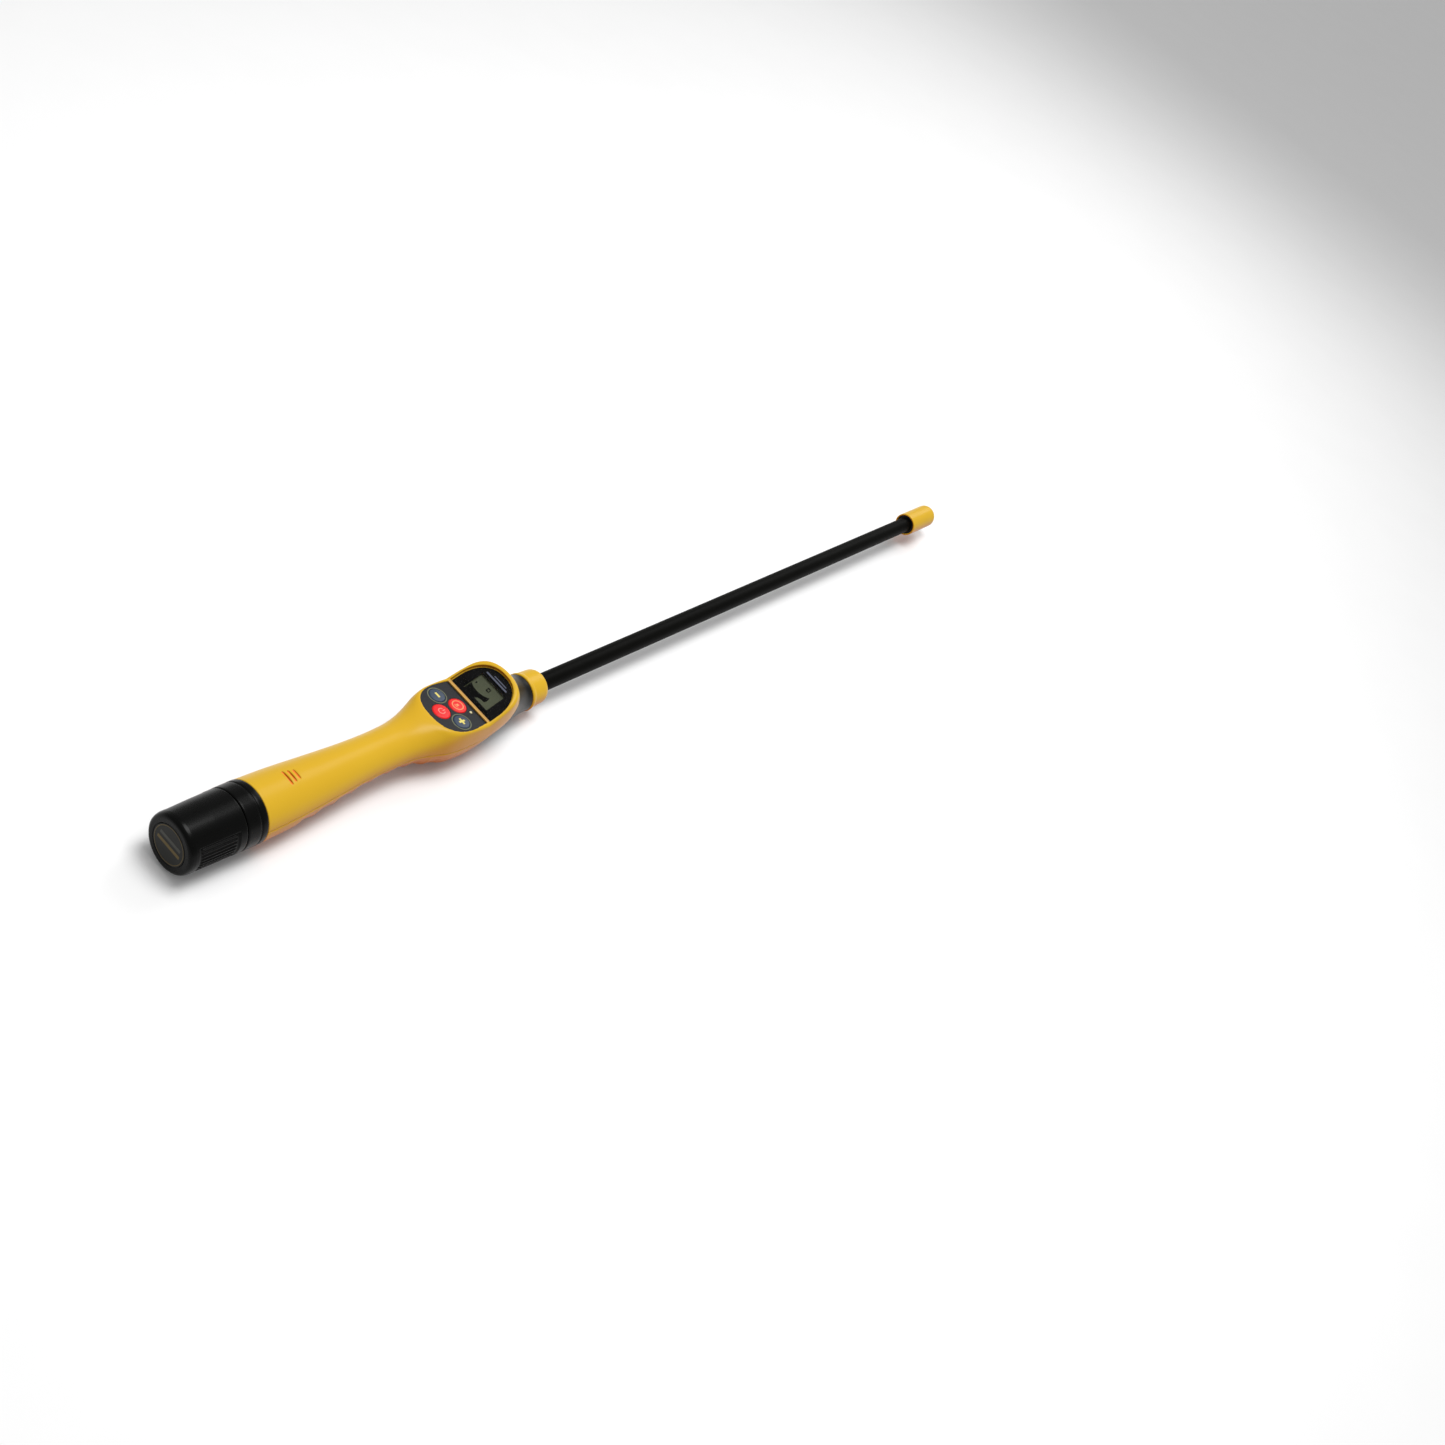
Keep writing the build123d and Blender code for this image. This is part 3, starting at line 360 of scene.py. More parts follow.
# ---- materials -----------------------------------------------------------------
def material(name, colour, rough=0.4, deep=None, grain=900.0, bump=0.05, specular=0.5,
             metallic=0.0, coat=0.0, mottle=12.0, painted_under_shade=None):
    """Procedural surface: slow colour drift, fine grain bump and uneven roughness; with
    painted_under_shade, a painted shade turns downward-facing surfaces a darker orange.
    """
    result = bpy.data.materials.new(name)
    result.use_nodes = True
    nodes, links = result.node_tree.nodes, result.node_tree.links
    shader = nodes["Principled BSDF"]
    shader.inputs["Metallic"].default_value = metallic
    shader.inputs["Specular IOR Level"].default_value = specular
    shader.inputs["Coat Weight"].default_value = coat
    shader.inputs["Coat Roughness"].default_value = 0.12
    place_node = nodes.new("ShaderNodeTexCoord")
    drift = nodes.new("ShaderNodeTexNoise")
    drift.inputs["Scale"].default_value = mottle
    drift.inputs["Detail"].default_value = 4
    links.new(place_node.outputs["Object"], drift.inputs["Vector"])
    mix = nodes.new("ShaderNodeMix")
    mix.data_type = "RGBA"
    deep = deep or tuple(c * 0.82 for c in colour)
    mix.inputs["A"].default_value = (*colour, 1)
    mix.inputs["B"].default_value = (*deep, 1)
    span = nodes.new("ShaderNodeMapRange")
    span.inputs["From Min"].default_value = 0.35
    span.inputs["From Max"].default_value = 0.75
    links.new(drift.outputs["Fac"], span.inputs["Value"])
    links.new(span.outputs["Result"], mix.inputs["Factor"])
    colour_out = mix.outputs["Result"]
    # Painted shade: the colour is blended towards a darker orange as the surface normal turns downward,
    # standing in for the shade under the body.
    if painted_under_shade:
        facing = nodes.new("ShaderNodeNewGeometry")
        split = nodes.new("ShaderNodeSeparateXYZ")
        links.new(facing.outputs["Normal"], split.inputs["Vector"])
        turn = nodes.new("ShaderNodeMapRange")
        turn.interpolation_type = "SMOOTHSTEP"
        turn.inputs["From Min"].default_value = 0.65
        turn.inputs["From Max"].default_value = -0.5
        links.new(split.outputs["Z"], turn.inputs["Value"])
        shade = nodes.new("ShaderNodeMix")
        shade.data_type = "RGBA"
        shade.inputs["B"].default_value = (*painted_under_shade, 1)
        links.new(colour_out, shade.inputs["A"])
        links.new(turn.outputs["Result"], shade.inputs["Factor"])
        colour_out = shade.outputs["Result"]
    links.new(colour_out, shader.inputs["Base Color"])
    fine = nodes.new("ShaderNodeTexNoise")
    fine.inputs["Scale"].default_value = grain
    fine.inputs["Detail"].default_value = 3
    links.new(place_node.outputs["Object"], fine.inputs["Vector"])
    uneven = nodes.new("ShaderNodeMapRange")
    uneven.inputs["To Min"].default_value = max(0.02, rough - 0.06)
    uneven.inputs["To Max"].default_value = min(1.0, rough + 0.06)
    links.new(fine.outputs["Fac"], uneven.inputs["Value"])
    links.new(uneven.outputs["Result"], shader.inputs["Roughness"])
    relief = nodes.new("ShaderNodeBump")
    relief.inputs["Strength"].default_value = bump
    relief.inputs["Distance"].default_value = 0.0002
    links.new(fine.outputs["Fac"], relief.inputs["Height"])
    links.new(relief.outputs["Normal"], shader.inputs["Normal"])
    return result


def glass(name):
    """Clear window: mostly see-through, with a clean gloss."""
    result = bpy.data.materials.new(name)
    result.use_nodes = True
    nodes, links = result.node_tree.nodes, result.node_tree.links
    shader = nodes["Principled BSDF"]
    shader.inputs["Base Color"].default_value = (0.02, 0.02, 0.02, 1)
    shader.inputs["Alpha"].default_value = 0.04
    shader.inputs["Specular IOR Level"].default_value = 0.08
    smear = nodes.new("ShaderNodeTexNoise")
    smear.inputs["Scale"].default_value = 60
    span = nodes.new("ShaderNodeMapRange")
    span.inputs["To Min"].default_value = 0.05
    span.inputs["To Max"].default_value = 0.16
    links.new(smear.outputs["Fac"], span.inputs["Value"])
    links.new(span.outputs["Result"], shader.inputs["Roughness"])
    return result


# The darker orange on the yellow's underside is painted shade, set by which way the surface faces; the
# moulding itself is one even yellow.
YELLOW = material("yellow moulding", (0.60, 0.365, 0.02), rough=0.3, deep=(0.58, 0.34, 0.016),
                  grain=1400, bump=0.04, specular=0.14, mottle=9, painted_under_shade=(0.40, 0.10, 0.003))
CAP_BLACK = material("cap black", (0.001, 0.0011, 0.0009), rough=0.27, grain=1200, bump=0.04, specular=0.09)
NOSE_BLACK = material("nose black", (0.0025, 0.0025, 0.002), rough=0.36, grain=1000,
                      bump=0.06, specular=0.12)
TUBE_BLACK = material("tube powder coat", (0.002, 0.002, 0.0016), rough=0.5, grain=1600,
                      bump=0.08, specular=0.03)
RUBBER = material("black rubber", (0.006, 0.006, 0.006), rough=0.65, grain=1500, bump=0.15, specular=0.2)
LABEL = material("label film", (0.012, 0.012, 0.010), rough=0.5, grain=1500, bump=0.03, specular=0.15)
BAR_GREY = material("printed grey", (0.045, 0.045, 0.038), rough=0.5, specular=0.2)
BAR_AMBER = material("printed amber", (0.10, 0.068, 0.018), rough=0.5, specular=0.2)
OVERLAY = material("keypad overlay", (0.008, 0.009, 0.012), rough=0.42, grain=2200,
                   bump=0.05, specular=0.16)
RING_OLIVE = material("printed olive ring", (0.085, 0.095, 0.045), rough=0.5, grain=2000)
KEY_RED = material("red key", (0.70, 0.008, 0.010), rough=0.34, deep=(0.64, 0.014, 0.012),
                   grain=1800, specular=0.2)
KEY_BLUE = material("blue key", (0.026, 0.044, 0.078), rough=0.36, grain=1800, specular=0.25)
MARK_YELLOW = material("printed yellow", (0.66, 0.55, 0.12), rough=0.5)
MARK_PINK = material("printed pink", (0.85, 0.22, 0.18), rough=0.5, specular=0.2)
MARK_ORANGE = material("printed orange", (0.85, 0.30, 0.13), rough=0.5, specular=0.2)
MASK_BLACK = material("display mask", (0.002, 0.002, 0.002), rough=0.4, grain=2000,
                      bump=0.02, specular=0.05)
LCD = material("liquid crystal", (0.078, 0.088, 0.052), rough=0.4, deep=(0.066, 0.075, 0.045),
               mottle=40, specular=0.1)
LCD_INK = material("liquid crystal segment", (0.002, 0.0022, 0.0018), rough=0.4, specular=0.03)
PRINT_PALE = material("printed pale", (0.10, 0.11, 0.15), rough=0.5, specular=0.1)
STEEL = material("plated steel", (0.55, 0.55, 0.53), rough=0.32, metallic=1.0, bump=0.06)
BOARD = material("solder mask", (0.012, 0.13, 0.045), rough=0.35, mottle=90)
GOLD = material("gold plate", (0.80, 0.56, 0.18), rough=0.25, metallic=1.0)
NYLON = material("nylon", (0.70, 0.68, 0.60), rough=0.5)
COPPER = material("enamelled copper", (0.48, 0.16, 0.05), rough=0.3, metallic=0.8, grain=2600, bump=0.3)
FOAM = material("grey foam", (0.05, 0.05, 0.055), rough=0.9, grain=700, bump=0.6)
LAMINATE = material("glass laminate", (0.36, 0.33, 0.12), rough=0.45, grain=2200, bump=0.15)
JACKET = material("cell jacket", (0.10, 0.10, 0.11), rough=0.28, coat=0.3)
WIRE_RED = material("red insulation", (0.45, 0.015, 0.012), rough=0.45)
DIFFUSER = material("diffuser", (0.78, 0.80, 0.78), rough=0.6)
AMBER_CABLE = material("flat cable", (0.42, 0.20, 0.03), rough=0.3)
CLOTH = material("dust cloth", (0.02, 0.02, 0.02), rough=0.9, grain=3000, bump=0.6)
# Bright orange under the speaker slots is a painted glow, standing in for light bounced off the yellow
# inside of the housing.
VENT_PAINTED_GLOW = material("vent painted glow", (0.90, 0.20, 0.015), rough=0.7, grain=3000, bump=0.3)
RIDGE = material("divider ridge", (0.50, 0.26, 0.05), rough=0.45, grain=1500)
LED = material("status lens", (0.45, 0.38, 0.16), rough=0.25, coat=0.4)
WINDOW = glass("window acrylic")

CAD_MATERIALS = {
    "tip_bushing": RUBBER, "tube_seal": RUBBER, "cap_seal": RUBBER, "button_mat": RUBBER,
    "cap_pivot_screw": STEEL, "housing_screws": STEEL, "carrier_contacts": STEEL,
    "battery_carrier": NOSE_BLACK, "contact_plate": BOARD, "plate_springs": GOLD,
    "main_board": BOARD, "board_chips": OVERLAY, "power_connector": NYLON,
    "sensor_connector": NYLON, "volume_switch": OVERLAY, "power_switch": OVERLAY,
    "minus_switch": OVERLAY, "plus_switch": OVERLAY, "status_led": LED,
    "lcd_backlight": DIFFUSER, "lcd_frame": NOSE_BLACK, "lcd_ribbon": AMBER_CABLE,
    "lcd_panel": LCD, "display_mask": MASK_BLACK, "speaker": NOSE_BLACK, "speaker_mesh": CLOTH,
    "sensor_rail": LAMINATE, "rear_sensor_bobbin": NYLON, "front_sensor_bobbin": NYLON,
    "rear_sensor_winding": COPPER, "front_sensor_winding": COPPER,
    "rear_sensor_core": STEEL, "front_sensor_core": STEEL, "tube_spacers": FOAM,
    "sensor_cable": RUBBER, "battery_lead": WIRE_RED, "speaker_lead": RUBBER,
    "battery_cell_1": JACKET, "battery_cell_2": JACKET, "battery_cell_3": JACKET,
    "battery_cell_4": JACKET,
}


def paint(obj, surface):
    """Give an object one material."""
    obj.data.materials.clear()
    obj.data.materials.append(surface)


def stands_for(obj, surface, body, node):
    """Finish a piece that replaces a CAD node."""
    paint(obj, surface)
    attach(obj, body)
    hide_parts(node)
    return obj


def added(obj, surface, body):
    """Finish a piece that the CAD form has no node for, such as a print."""
    paint(obj, surface)
    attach(obj, body)
    return obj


for node, surface in CAD_MATERIALS.items():
    paint(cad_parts[node], surface)

VOXEL = 0.55


# ---- yellow housing and black nose ----------------------------------------------
# The openings in the face are RIM_WIDENING wider on every side than the plain
# outlines, and the plates that fill them are PLATE_GAP narrower than the openings.
RIM_ROUNDING = 3.2
RIM_WIDENING = 0.7
PLATE_GAP = 0.1
RIPPLE_DEPTH = 1.3
PARTING_GAP = 0.05
SEAM_GAP = 0.01
LCD_MARGIN = 0.6
SCREW_HOLE_RADIUS = 3.0
RIDGE_HALF_WIDTH = 1.3
RIDGE_REACH = 25.2
PRINT_LIFT = 0.06


def housing_half(name, upper):
    """Upper or lower half of the yellow housing, hollow, with all its openings."""
    half = body_mesh(name, 0.0, 0.0, 0.0, RIM_ROUNDING, ripple=0.0 if upper else RIPPLE_DEPTH)
    cut(half, leaning_block(-PARTING_GAP, True))
    seam = SEAM_HEIGHT + SEAM_GAP if upper else SEAM_HEIGHT - SEAM_GAP
    if upper:
        cut(half, box_between((0, -60, -60), (500, 60, seam)))
    else:
        cut(half, box_between((0, -60, seam), (500, 60, 90)))
    cut(half, body_mesh("cutter", WALL, KEYPAD_DECK, DISPLAY_DECK, 0.5))
    if upper:
        cut(half, slab("cutter", KEYPAD, keypad_outline(-RIM_WIDENING), 20, -OVERLAY_FLOOR))
        cut(half, slab("cutter", DISPLAY, display_outline(-RIM_WIDENING), 20, -MASK_FLOOR))
        for x, y, radius in BUTTONS.values():
            cut(half, pin(KEYPAD, x, y, radius + 0.15, 5, -8))
        along = LCD_LENGTH / 2 + LCD_MARGIN
        aside = LCD_WIDTH / 2 + LCD_MARGIN
        corners = [(LCD_CENTRE + a * along, b * aside) for a, b in ((1, 1), (-1, 1), (-1, -1), (1, -1))]
        cut(half, slab("cutter", DISPLAY, corners, 5, -12))
        for station, half_length in VENTS:
            cut(half, speaker_slot(station, half_length))
    else:
        for station, seat in SCREW_STATIONS:
            cut(half, pin(AXIS, station, 0, SCREW_HOLE_RADIUS, seat, -60))
    moulded(half, VOXEL, 3)
    return half


def speaker_slot(station, half_length, half_width=0.95, top=40, bottom=16.8):
    """Round-ended block across the top of the handle."""
    outline = []
    for side in (1, -1):
        for k in range(13):
            angle = math.pi * k / 12
            reach = half_length - half_width + half_width * math.sin(angle)
            outline.append((station + side * half_width * math.cos(angle), side * reach))
    return slab("cutter", AXIS, outline, top, bottom)


upper = housing_half("upper_shell", True)
stands_for(upper, YELLOW, "wand", "upper_housing")
lower = housing_half("lower_shell", False)
stands_for(lower, YELLOW, "wand", "lower_housing")

NOSE_HOLLOW = [
    (300, 0.01), (300, 15.4), (330, 14.8), (346, 13), (346, 8.4), (400, 8.4), (400, 0.01),
]
nose = body_mesh("nose_shell", 0.0, 0.0, 0.0, RIM_ROUNDING)
cut(nose, leaning_block(PARTING_GAP, False))
cut(nose, lathe("cutter", NOSE_HOLLOW, 144))
moulded(nose, VOXEL, 3)
stands_for(nose, NOSE_BLACK, "wand", "nose_cone")

# Thin orange sheets just under the speaker slots: a painted glow of light bounced inside the yellow
# housing, not a real screen.
for number, (station, half_length) in enumerate(VENTS):
    glow_sheet = speaker_slot(station, half_length + 0.5, 1.5, 22.5, 22.0)
    glow_sheet.name = f"vent_painted_glow_{number + 1}"
    added(glow_sheet, VENT_PAINTED_GLOW, "wand")

for side, plane in (("rear", KEYPAD), ("front", DISPLAY)):
    reach = -RIDGE_HALF_WIDTH if side == "rear" else RIDGE_HALF_WIDTH
    corners = [(reach, RIDGE_REACH), (reach, -RIDGE_REACH), (0, -RIDGE_REACH), (0, RIDGE_REACH)]
    strip = slab(f"divider_{side}", plane, corners, PRINT_LIFT, -0.4)
    added(strip, RIDGE, "wand")

# ---- cap and ring -----------------------------------------------------------------
END_BAR_HEIGHT = 3.0
PANEL_DEPTH = 1.2
RIB_HEIGHT = 0.95
PANEL = (8.0, 44.0)
PANEL_HALF_WIDTH = 15.5
RIBS = 9


def smooth_step(value, low, high):
    """0 below low, 1 above high, rounded between."""
    t = min(1.0, max(0.0, (value - low) / (high - low)))
    return t * t * (3 - 2 * t)


def cap_grip(station, radius, angle):
    """Sink the two ribbed grip panels into the cap's sides."""
    if radius < 22.9 or station < 3 or station > 50:
        return radius
    across = math.asin(abs(math.sin(angle))) * 25.0
    edge = 0.9
    inside = smooth_step(PANEL_HALF_WIDTH - across, 0, edge)
    inside *= smooth_step(station - PANEL[0], 0, edge) * smooth_step(PANEL[1] - station, 0, edge)
    pitch = 2 * (PANEL_HALF_WIDTH - 2.5) / (RIBS - 1)
    wave = 0.5 + 0.5 * math.cos(2 * math.pi * across / pitch)
    ends = smooth_step(station - PANEL[0], 2.0, 3.4) * smooth_step(PANEL[1] - station, 2.0, 3.4)
    rib = smooth_step(wave, 0.45, 0.85) * ends * (1 if across < PANEL_HALF_WIDTH - 1.6 else 0)
    return radius - inside * (PANEL_DEPTH - RIB_HEIGHT * rib)


CAP_PROFILE = dense([
    (0.8, 0.01), (0.8, 17.0), (0.15, 17.6), (0.1, 21.2), (0.5, 22.5), (1.4, 23.5), (2.8, 24.15),
    (5, 24.6), (27, 25.2), (49.8, 25.45), (50.5, 25.2), (50.8, 24.8), (50.8, 21.5), (55, 21.5), (55, 19.8),
    (57.4, 19.8), (57.4, 21.5), (62, 21.5), (62, 19.4), (46.5, 19.4), (43.5, 21.8), (4, 21.4),
    (4, 5), (8.6, 5), (8.6, 0.01),
], 0.55)
cap = lathe("cap_shell", CAP_PROFILE, 480, reshape=cap_grip)
stands_for(cap, CAP_BLACK, "cap", "battery_cap")

RING_PROFILE = dense([
    (51.2, 21.6), (51.2, 24.9), (51.7, 25.5), (52.4, 25.6), (62.4, 25.7), (62.9, 25.6), (63.3, 25.2),
    (64.1, 25.2), (64.5, 25.6), (65, 25.75), (69.0, 25.75), (69.6, 25.4), (69.9, 24.9), (69.9, 22.1),
    (78, 22.1), (78, 19), (73, 19), (73, 21.6),
], 1.5)
ring = lathe("ring_shell", RING_PROFILE, 200)
stands_for(ring, CAP_BLACK, "wand", "locking_ring")

LABEL_PROFILE = dense([(0.2, 0.01), (0.2, 16.5), (0.35, 16.7), (0.8, 16.7), (0.8, 0.01)], 1.2)
label = lathe("cap_disc", LABEL_PROFILE, 120)
stands_for(label, LABEL, "cap", "cap_label")


def end_bar(name, height, half_length, surface):
    """Plain bar printed on the cap's end, lifted just off the label."""
    plane = Matrix.Translation(place(0.2, 0, height)) @ Matrix.Rotation(-math.pi / 2, 4, "Y")
    bar = slab(name, plane, rounded_bar(END_BAR_HEIGHT, 2 * half_length, 0.6), PRINT_LIFT, 0.0)
    return added(bar, surface, "cap")


def rounded_bar(length, width, radius, x=0.0, y=0.0):
    """Outline of a round-cornered rectangle."""
    outline = []
    for k, (a, b) in enumerate(((1, 1), (-1, 1), (-1, -1), (1, -1))):
        for step in range(7):
            turn = math.pi / 2 * (k + step / 6)
            outline.append((x + a * (length / 2 - radius) + radius * math.cos(turn),
                            y + b * (width / 2 - radius) + radius * math.sin(turn)))
    return outline


end_bar("end_bar_upper", 4.6, 11.5, BAR_GREY)
end_bar("end_bar_lower", -1.2, 12.5, BAR_AMBER)
rim = lathe("end_circle", [(0.14, 15.4), (0.2, 15.3), (0.2, 15.9), (0.14, 15.8)], 120)
added(rim, BAR_AMBER, "cap")

# ---- collar, tube and tip -----------------------------------------------------------
COLLAR_PROFILE = dense([
    (371.2, 12.5), (371.2, 16.6), (371.5, 17.05), (372.2, 17.25), (373.6, 17.2), (374.4, 16.9),
    (375.2, 16.45), (376.4, 16.3), (388.5, 15.85), (390.6, 15.5), (392.2, 14.7), (393.1, 13.8),
    (393.45, 12.8), (393.45, 9.05), (392, 9.05), (392, 12.5),
], 1.2)
collar = lathe("collar_shell", COLLAR_PROFILE, 200)
stands_for(collar, YELLOW, "wand", "collar_nut")

TUBE_PROFILE = dense([(346, 7), (346, 8.25), (1066, 8.25), (1066, 7)], 12)
tube = lathe("tube_skin", TUBE_PROFILE, 128)
stands_for(tube, TUBE_BLACK, "wand", "sensor_tube")

TIP_RADIUS = 12.4
TIP_CORNER = 9.0
TIP_MOUTH = [
    (1066.2, 0.01), (1066.2, 8.3), (1040, 8.3), (1040, 10.8), (1027.15, 10.8), (1027.0, 11.1),
    (1027.0, 12.0), (1027.15, 12.3), (1027.6, TIP_RADIUS),
]
TIP_ROUND = [
    (LENGTH - TIP_CORNER * (1 - math.sin(turn)), TIP_RADIUS - TIP_CORNER * (1 - math.cos(turn)))
    for turn in np.linspace(0, math.pi / 2, 14)
]
tip = lathe("tip_shell", dense(TIP_MOUTH + TIP_ROUND + [(LENGTH, 0.01)], 1.5), 160)
stands_for(tip, YELLOW, "wand", "tip_cap")


# ---- keypad ---------------------------------------------------------------------------
def dome(distance, radius):
    """Height of a key's top over its edge: a shallow dome with a round shoulder."""
    share = min(1.0, distance / radius)
    return -0.42 - 0.30 * share**2 - 0.75 * smooth_step(share, 0.88, 1.0) ** 1.5


OVERLAY_HOLES = [(x, y, radius + 0.1) for x, y, radius in BUTTONS.values()] + [(-6.4, -10.2, 1.5)]
overlay = slab("overlay_plate", KEYPAD, keypad_outline(PLATE_GAP - RIM_WIDENING),
               -OVERLAY_DEPTH, -OVERLAY_FLOOR, holes=OVERLAY_HOLES)
soften(overlay, 0.12)
stands_for(overlay, OVERLAY, "wand", "keypad_overlay")


def key(name, x, y, radius):
    """Domed key with its flange and stem, turned about its own axis."""
    crown = [(dome(radius * k / 24, radius), max(0.01, radius * k / 24)) for k in range(25)]
    flange = radius + 0.8
    body = [(-4.1, radius), (-4.1, flange), (-5.0, flange), (-5.0, 2.0), (-6.1, 2.0), (-6.1, 0.01)]
    matrix = KEYPAD @ Matrix.Translation((x * MM, y * MM, 0)) @ Matrix.Rotation(-math.pi / 2, 4, "Y")
    return lathe(name, crown + body, 96, matrix=matrix)


def cell_prisms(name, cells, point_at, levels, sides):
    """Thin mesh of flat four-sided cells; point_at gives a place for x, y and a level."""
    points, faces = [], []
    for cell in cells:
        start = len(points)
        points += [point_at(x, y, level) for level in levels for x, y in cell]
        faces += [(start, start + 1, start + 2, start + 3), (start + 7, start + 6, start + 5, start + 4)]
        for k in sides:
            after = (k + 1) % 4
            faces.append((start + k, start + after, start + 4 + after, start + 4 + k))
    return new_object(name, points, faces, smooth=False)


def inlay(name, cells, centre, radius, surface, body):
    """Thin print that follows a key's dome."""
    def point_at(x, y, level):
        return on_plane(KEYPAD, centre[0] + x, centre[1] + y, dome(math.hypot(x, y), radius) + level)

    print_mesh = cell_prisms(name, cells, point_at, (0.05, -0.05), (0, 1, 2, 3))
    return added(print_mesh, surface, body)


def halo(name, centre, radius):
    """Olive ring printed on the overlay round a key."""
    def point_at(x, y, level):
        return on_plane(KEYPAD, centre[0] + x, centre[1] + y, level)

    cells = arc_cells(radius + 0.35, radius + 1.35, 0, 360, 72)
    ring_mesh = cell_prisms(name, cells, point_at, (-1.16, -1.24), (1, 3))
    return added(ring_mesh, RING_OLIVE, "wand")


def bar_cells(x, y, length, width, steps=8):
    """Quads that fill an upright rectangle, for a bar on a dome."""
    cells = []
    for k in range(steps):
        low = y - width / 2 + width * k / steps
        high = y - width / 2 + width * (k + 1) / steps
        rear, front = x - length / 2, x + length / 2
        cells.append(((rear, low), (front, low), (front, high), (rear, high)))
    return cells


def arc_cells(inner, outer, start, end, steps=40):
    """Quads along a ring or part of one; angles in degrees from forward."""
    cells = []
    for k in range(steps):
        a = math.radians(start + (end - start) * k / steps)
        b = math.radians(start + (end - start) * (k + 1) / steps)
        turns = ((inner, a), (outer, a), (outer, b), (inner, b))
        cells.append([(radius * math.cos(turn), radius * math.sin(turn)) for radius, turn in turns])
    return cells


KEY_MARKS = {
    "minus_button": (MARK_YELLOW, bar_cells(0, 0, 2.0, 5.6)),
    "plus_button": (MARK_YELLOW, bar_cells(0, 0, 1.9, 6.6) + bar_cells(2.1, 0, 2.3, 1.9, 3)
                    + bar_cells(-2.1, 0, 2.3, 1.9, 3)),
    "power_button": (MARK_PINK, arc_cells(2.4, 3.3, 35, 325) + bar_cells(2.4, 0, 3.0, 1.0, 2)),
    "volume_button": (MARK_ORANGE, arc_cells(4.4, 5.3, 0, 360) + bar_cells(-0.2, 0.2, 2.4, 2.2, 3)
                      + arc_cells(2.3, 2.9, 130, 230, 10)),
}
for name, (x, y, radius) in BUTTONS.items():
    red = radius > 8
    button = key(name + "_cap", x, y, radius)
    stands_for(button, KEY_RED if red else KEY_BLUE, name, name)
    surface, cells = KEY_MARKS[name]
    inlay(name + "_mark", cells, (x, y), radius, surface, name)
    if not red:
        halo(name + "_ring", (x, y), radius)

# ---- display ----------------------------------------------------------------------------
window = slab("window_plate", DISPLAY, display_outline(PLATE_GAP - RIM_WIDENING),
              -WINDOW_DEPTH, -WINDOW_FLOOR)
soften(window, 0.15)
stands_for(window, WINDOW, "wand", "display_window")


def display_print(name, outline, height, surface):
    """Flat print or liquid crystal segment on a display plane."""
    return added(slab(name, DISPLAY, outline, height + 0.05, height - 0.05), surface, "wand")


# Dark signal scale of the display, as steps forward and right from its rear left corner.
SIGNAL_SCALE = [
    (0.2, 0.3), (8.4, 0.3), (7.2, 3.5), (6.6, 7.0), (6.5, 10.0), (6.8, 13.0), (7.6, 16.5), (8.6, 19.0),
    (10.0, 21.5), (6.8, 22.2), (4.2, 21.4), (4.0, 18.2), (3.0, 14.8), (1.6, 13.4), (0.2, 12.8),
]


def on_lcd(forward, right):
    """Display-plane point from steps off the panel's rear left corner."""
    return (LCD_CENTRE - LCD_LENGTH / 2 + forward, LCD_WIDTH / 2 - right)


LCD_TOP = -5.7
display_print("lcd_scale", [on_lcd(*step) for step in SIGNAL_SCALE], LCD_TOP, LCD_INK)
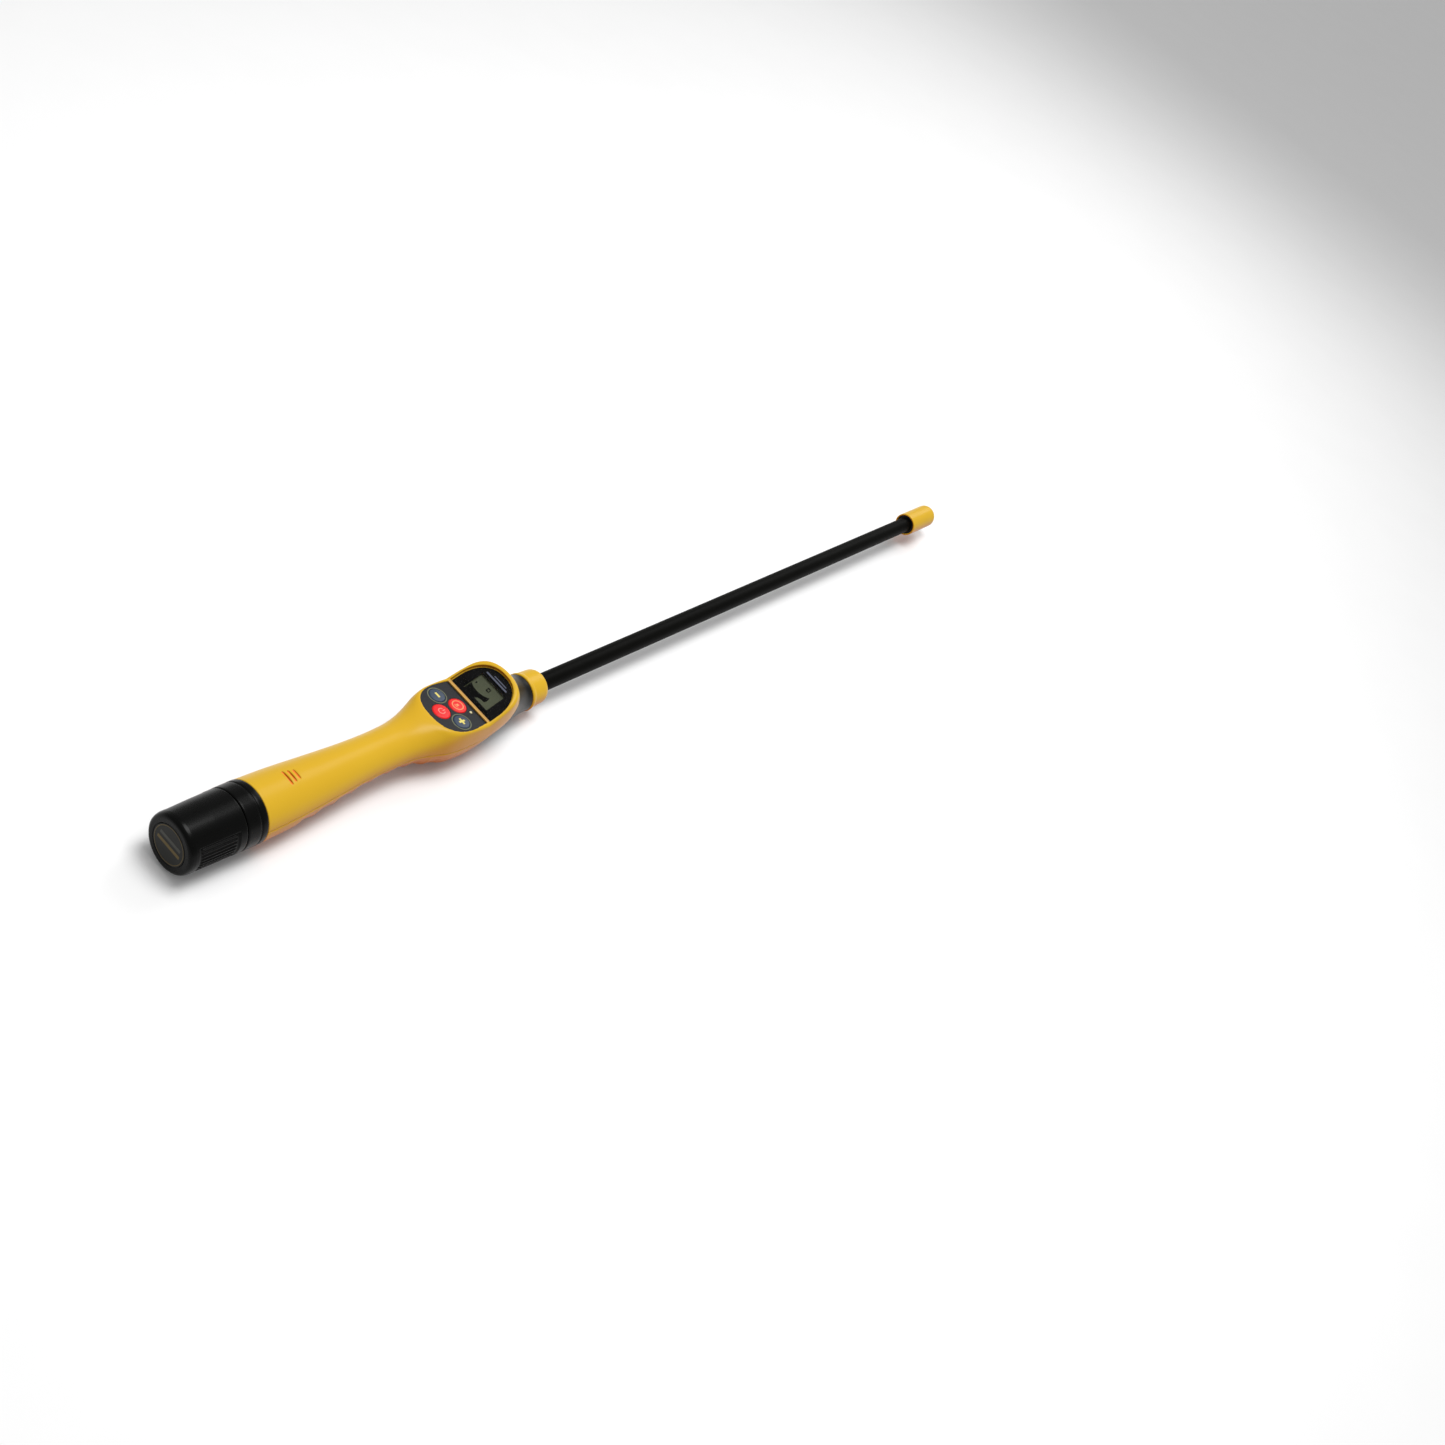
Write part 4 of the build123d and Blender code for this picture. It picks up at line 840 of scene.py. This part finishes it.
# Small dark marks: steps forward and right to the middle, then length and width.
LCD_MARKS = (
    (11.5, 2.8, 1.6, 1.4), (15.6, 14.6, 1.2, 2.2), (13.0, 14.6, 1.2, 2.2), (14.3, 13.6, 3.6, 0.8),
    (14.3, 16.4, 3.6, 0.8),
)
for number, (forward, right, length, width) in enumerate(LCD_MARKS):
    outline = rounded_bar(length, width, 0.3, *on_lcd(forward, right))
    display_print(f"lcd_mark_{number + 1}", outline, LCD_TOP, LCD_INK)
WINDOW_LINES = {
    "window_line_upper": rounded_bar(0.9, 15.0, 0.4, 32.6, -2.0),
    "window_line_lower": rounded_bar(1.5, 25.0, 0.5, 30.2, 0),
}
for name, outline in WINDOW_LINES.items():
    display_print(name, outline, -WINDOW_DEPTH, PRINT_PALE)

# ---- floor, light and camera --------------------------------------------------------------
FLOOR_REACH = 9.0
FLOOR_CORNERS = [(a * FLOOR_REACH, b * FLOOR_REACH, 0) for a, b in ((-1, -1), (1, -1), (1, 1), (-1, 1))]
floor = new_object("floor", FLOOR_CORNERS, [(0, 1, 2, 3)], smooth=False)
PALE = material("pale floor", (0.86, 0.86, 0.86), rough=0.9, deep=(0.85, 0.85, 0.85),
                bump=0.0, specular=0.1)
paint(floor, PALE)


def area_light(name, position, target, size, power):
    """Soft rectangular light aimed at a point."""
    light = bpy.data.lights.new(name, "AREA")
    light.shape = "RECTANGLE"
    light.size, light.size_y = size
    light.energy = power
    obj = bpy.data.objects.new(name, light)
    obj.location = position
    obj.rotation_euler = (Vector(target) - Vector(position)).to_track_quat("-Z", "Y").to_euler()
    bpy.context.scene.collection.objects.link(obj)


area_light("key light", (-0.1, -0.1, 1.9), (-0.2, 0, 0), (0.9, 0.9), 28)
area_light("fill light", (1.7, 0.4, 1.6), (-0.3, 0, 0), (1.0, 1.6), 17)
world = bpy.data.worlds.new("studio")
world.use_nodes = True
world.node_tree.nodes["Background"].inputs["Color"].default_value = (1, 1, 1, 1)
world.node_tree.nodes["Background"].inputs["Strength"].default_value = 0.5
bpy.context.scene.world = world
bpy.context.scene.view_settings.view_transform = "Standard"

camera_data = bpy.data.cameras.new("camera")
camera_data.sensor_width = 36
camera_data.lens = 44.84
camera_data.clip_end = 100
camera = bpy.data.objects.new("camera", camera_data)
forward = Vector((0.7523, 0.248, -0.610)).normalized()
right = Vector((0.5845, -0.679, 0.444))
right = (right - forward * right.dot(forward)).normalized()
up = right.cross(forward)
turned = Matrix((right, up, -forward)).transposed().to_4x4()
camera.matrix_world = Matrix.Translation(place(-704, -523, 1010)) @ turned
bpy.context.scene.collection.objects.link(camera)
bpy.context.scene.camera = camera
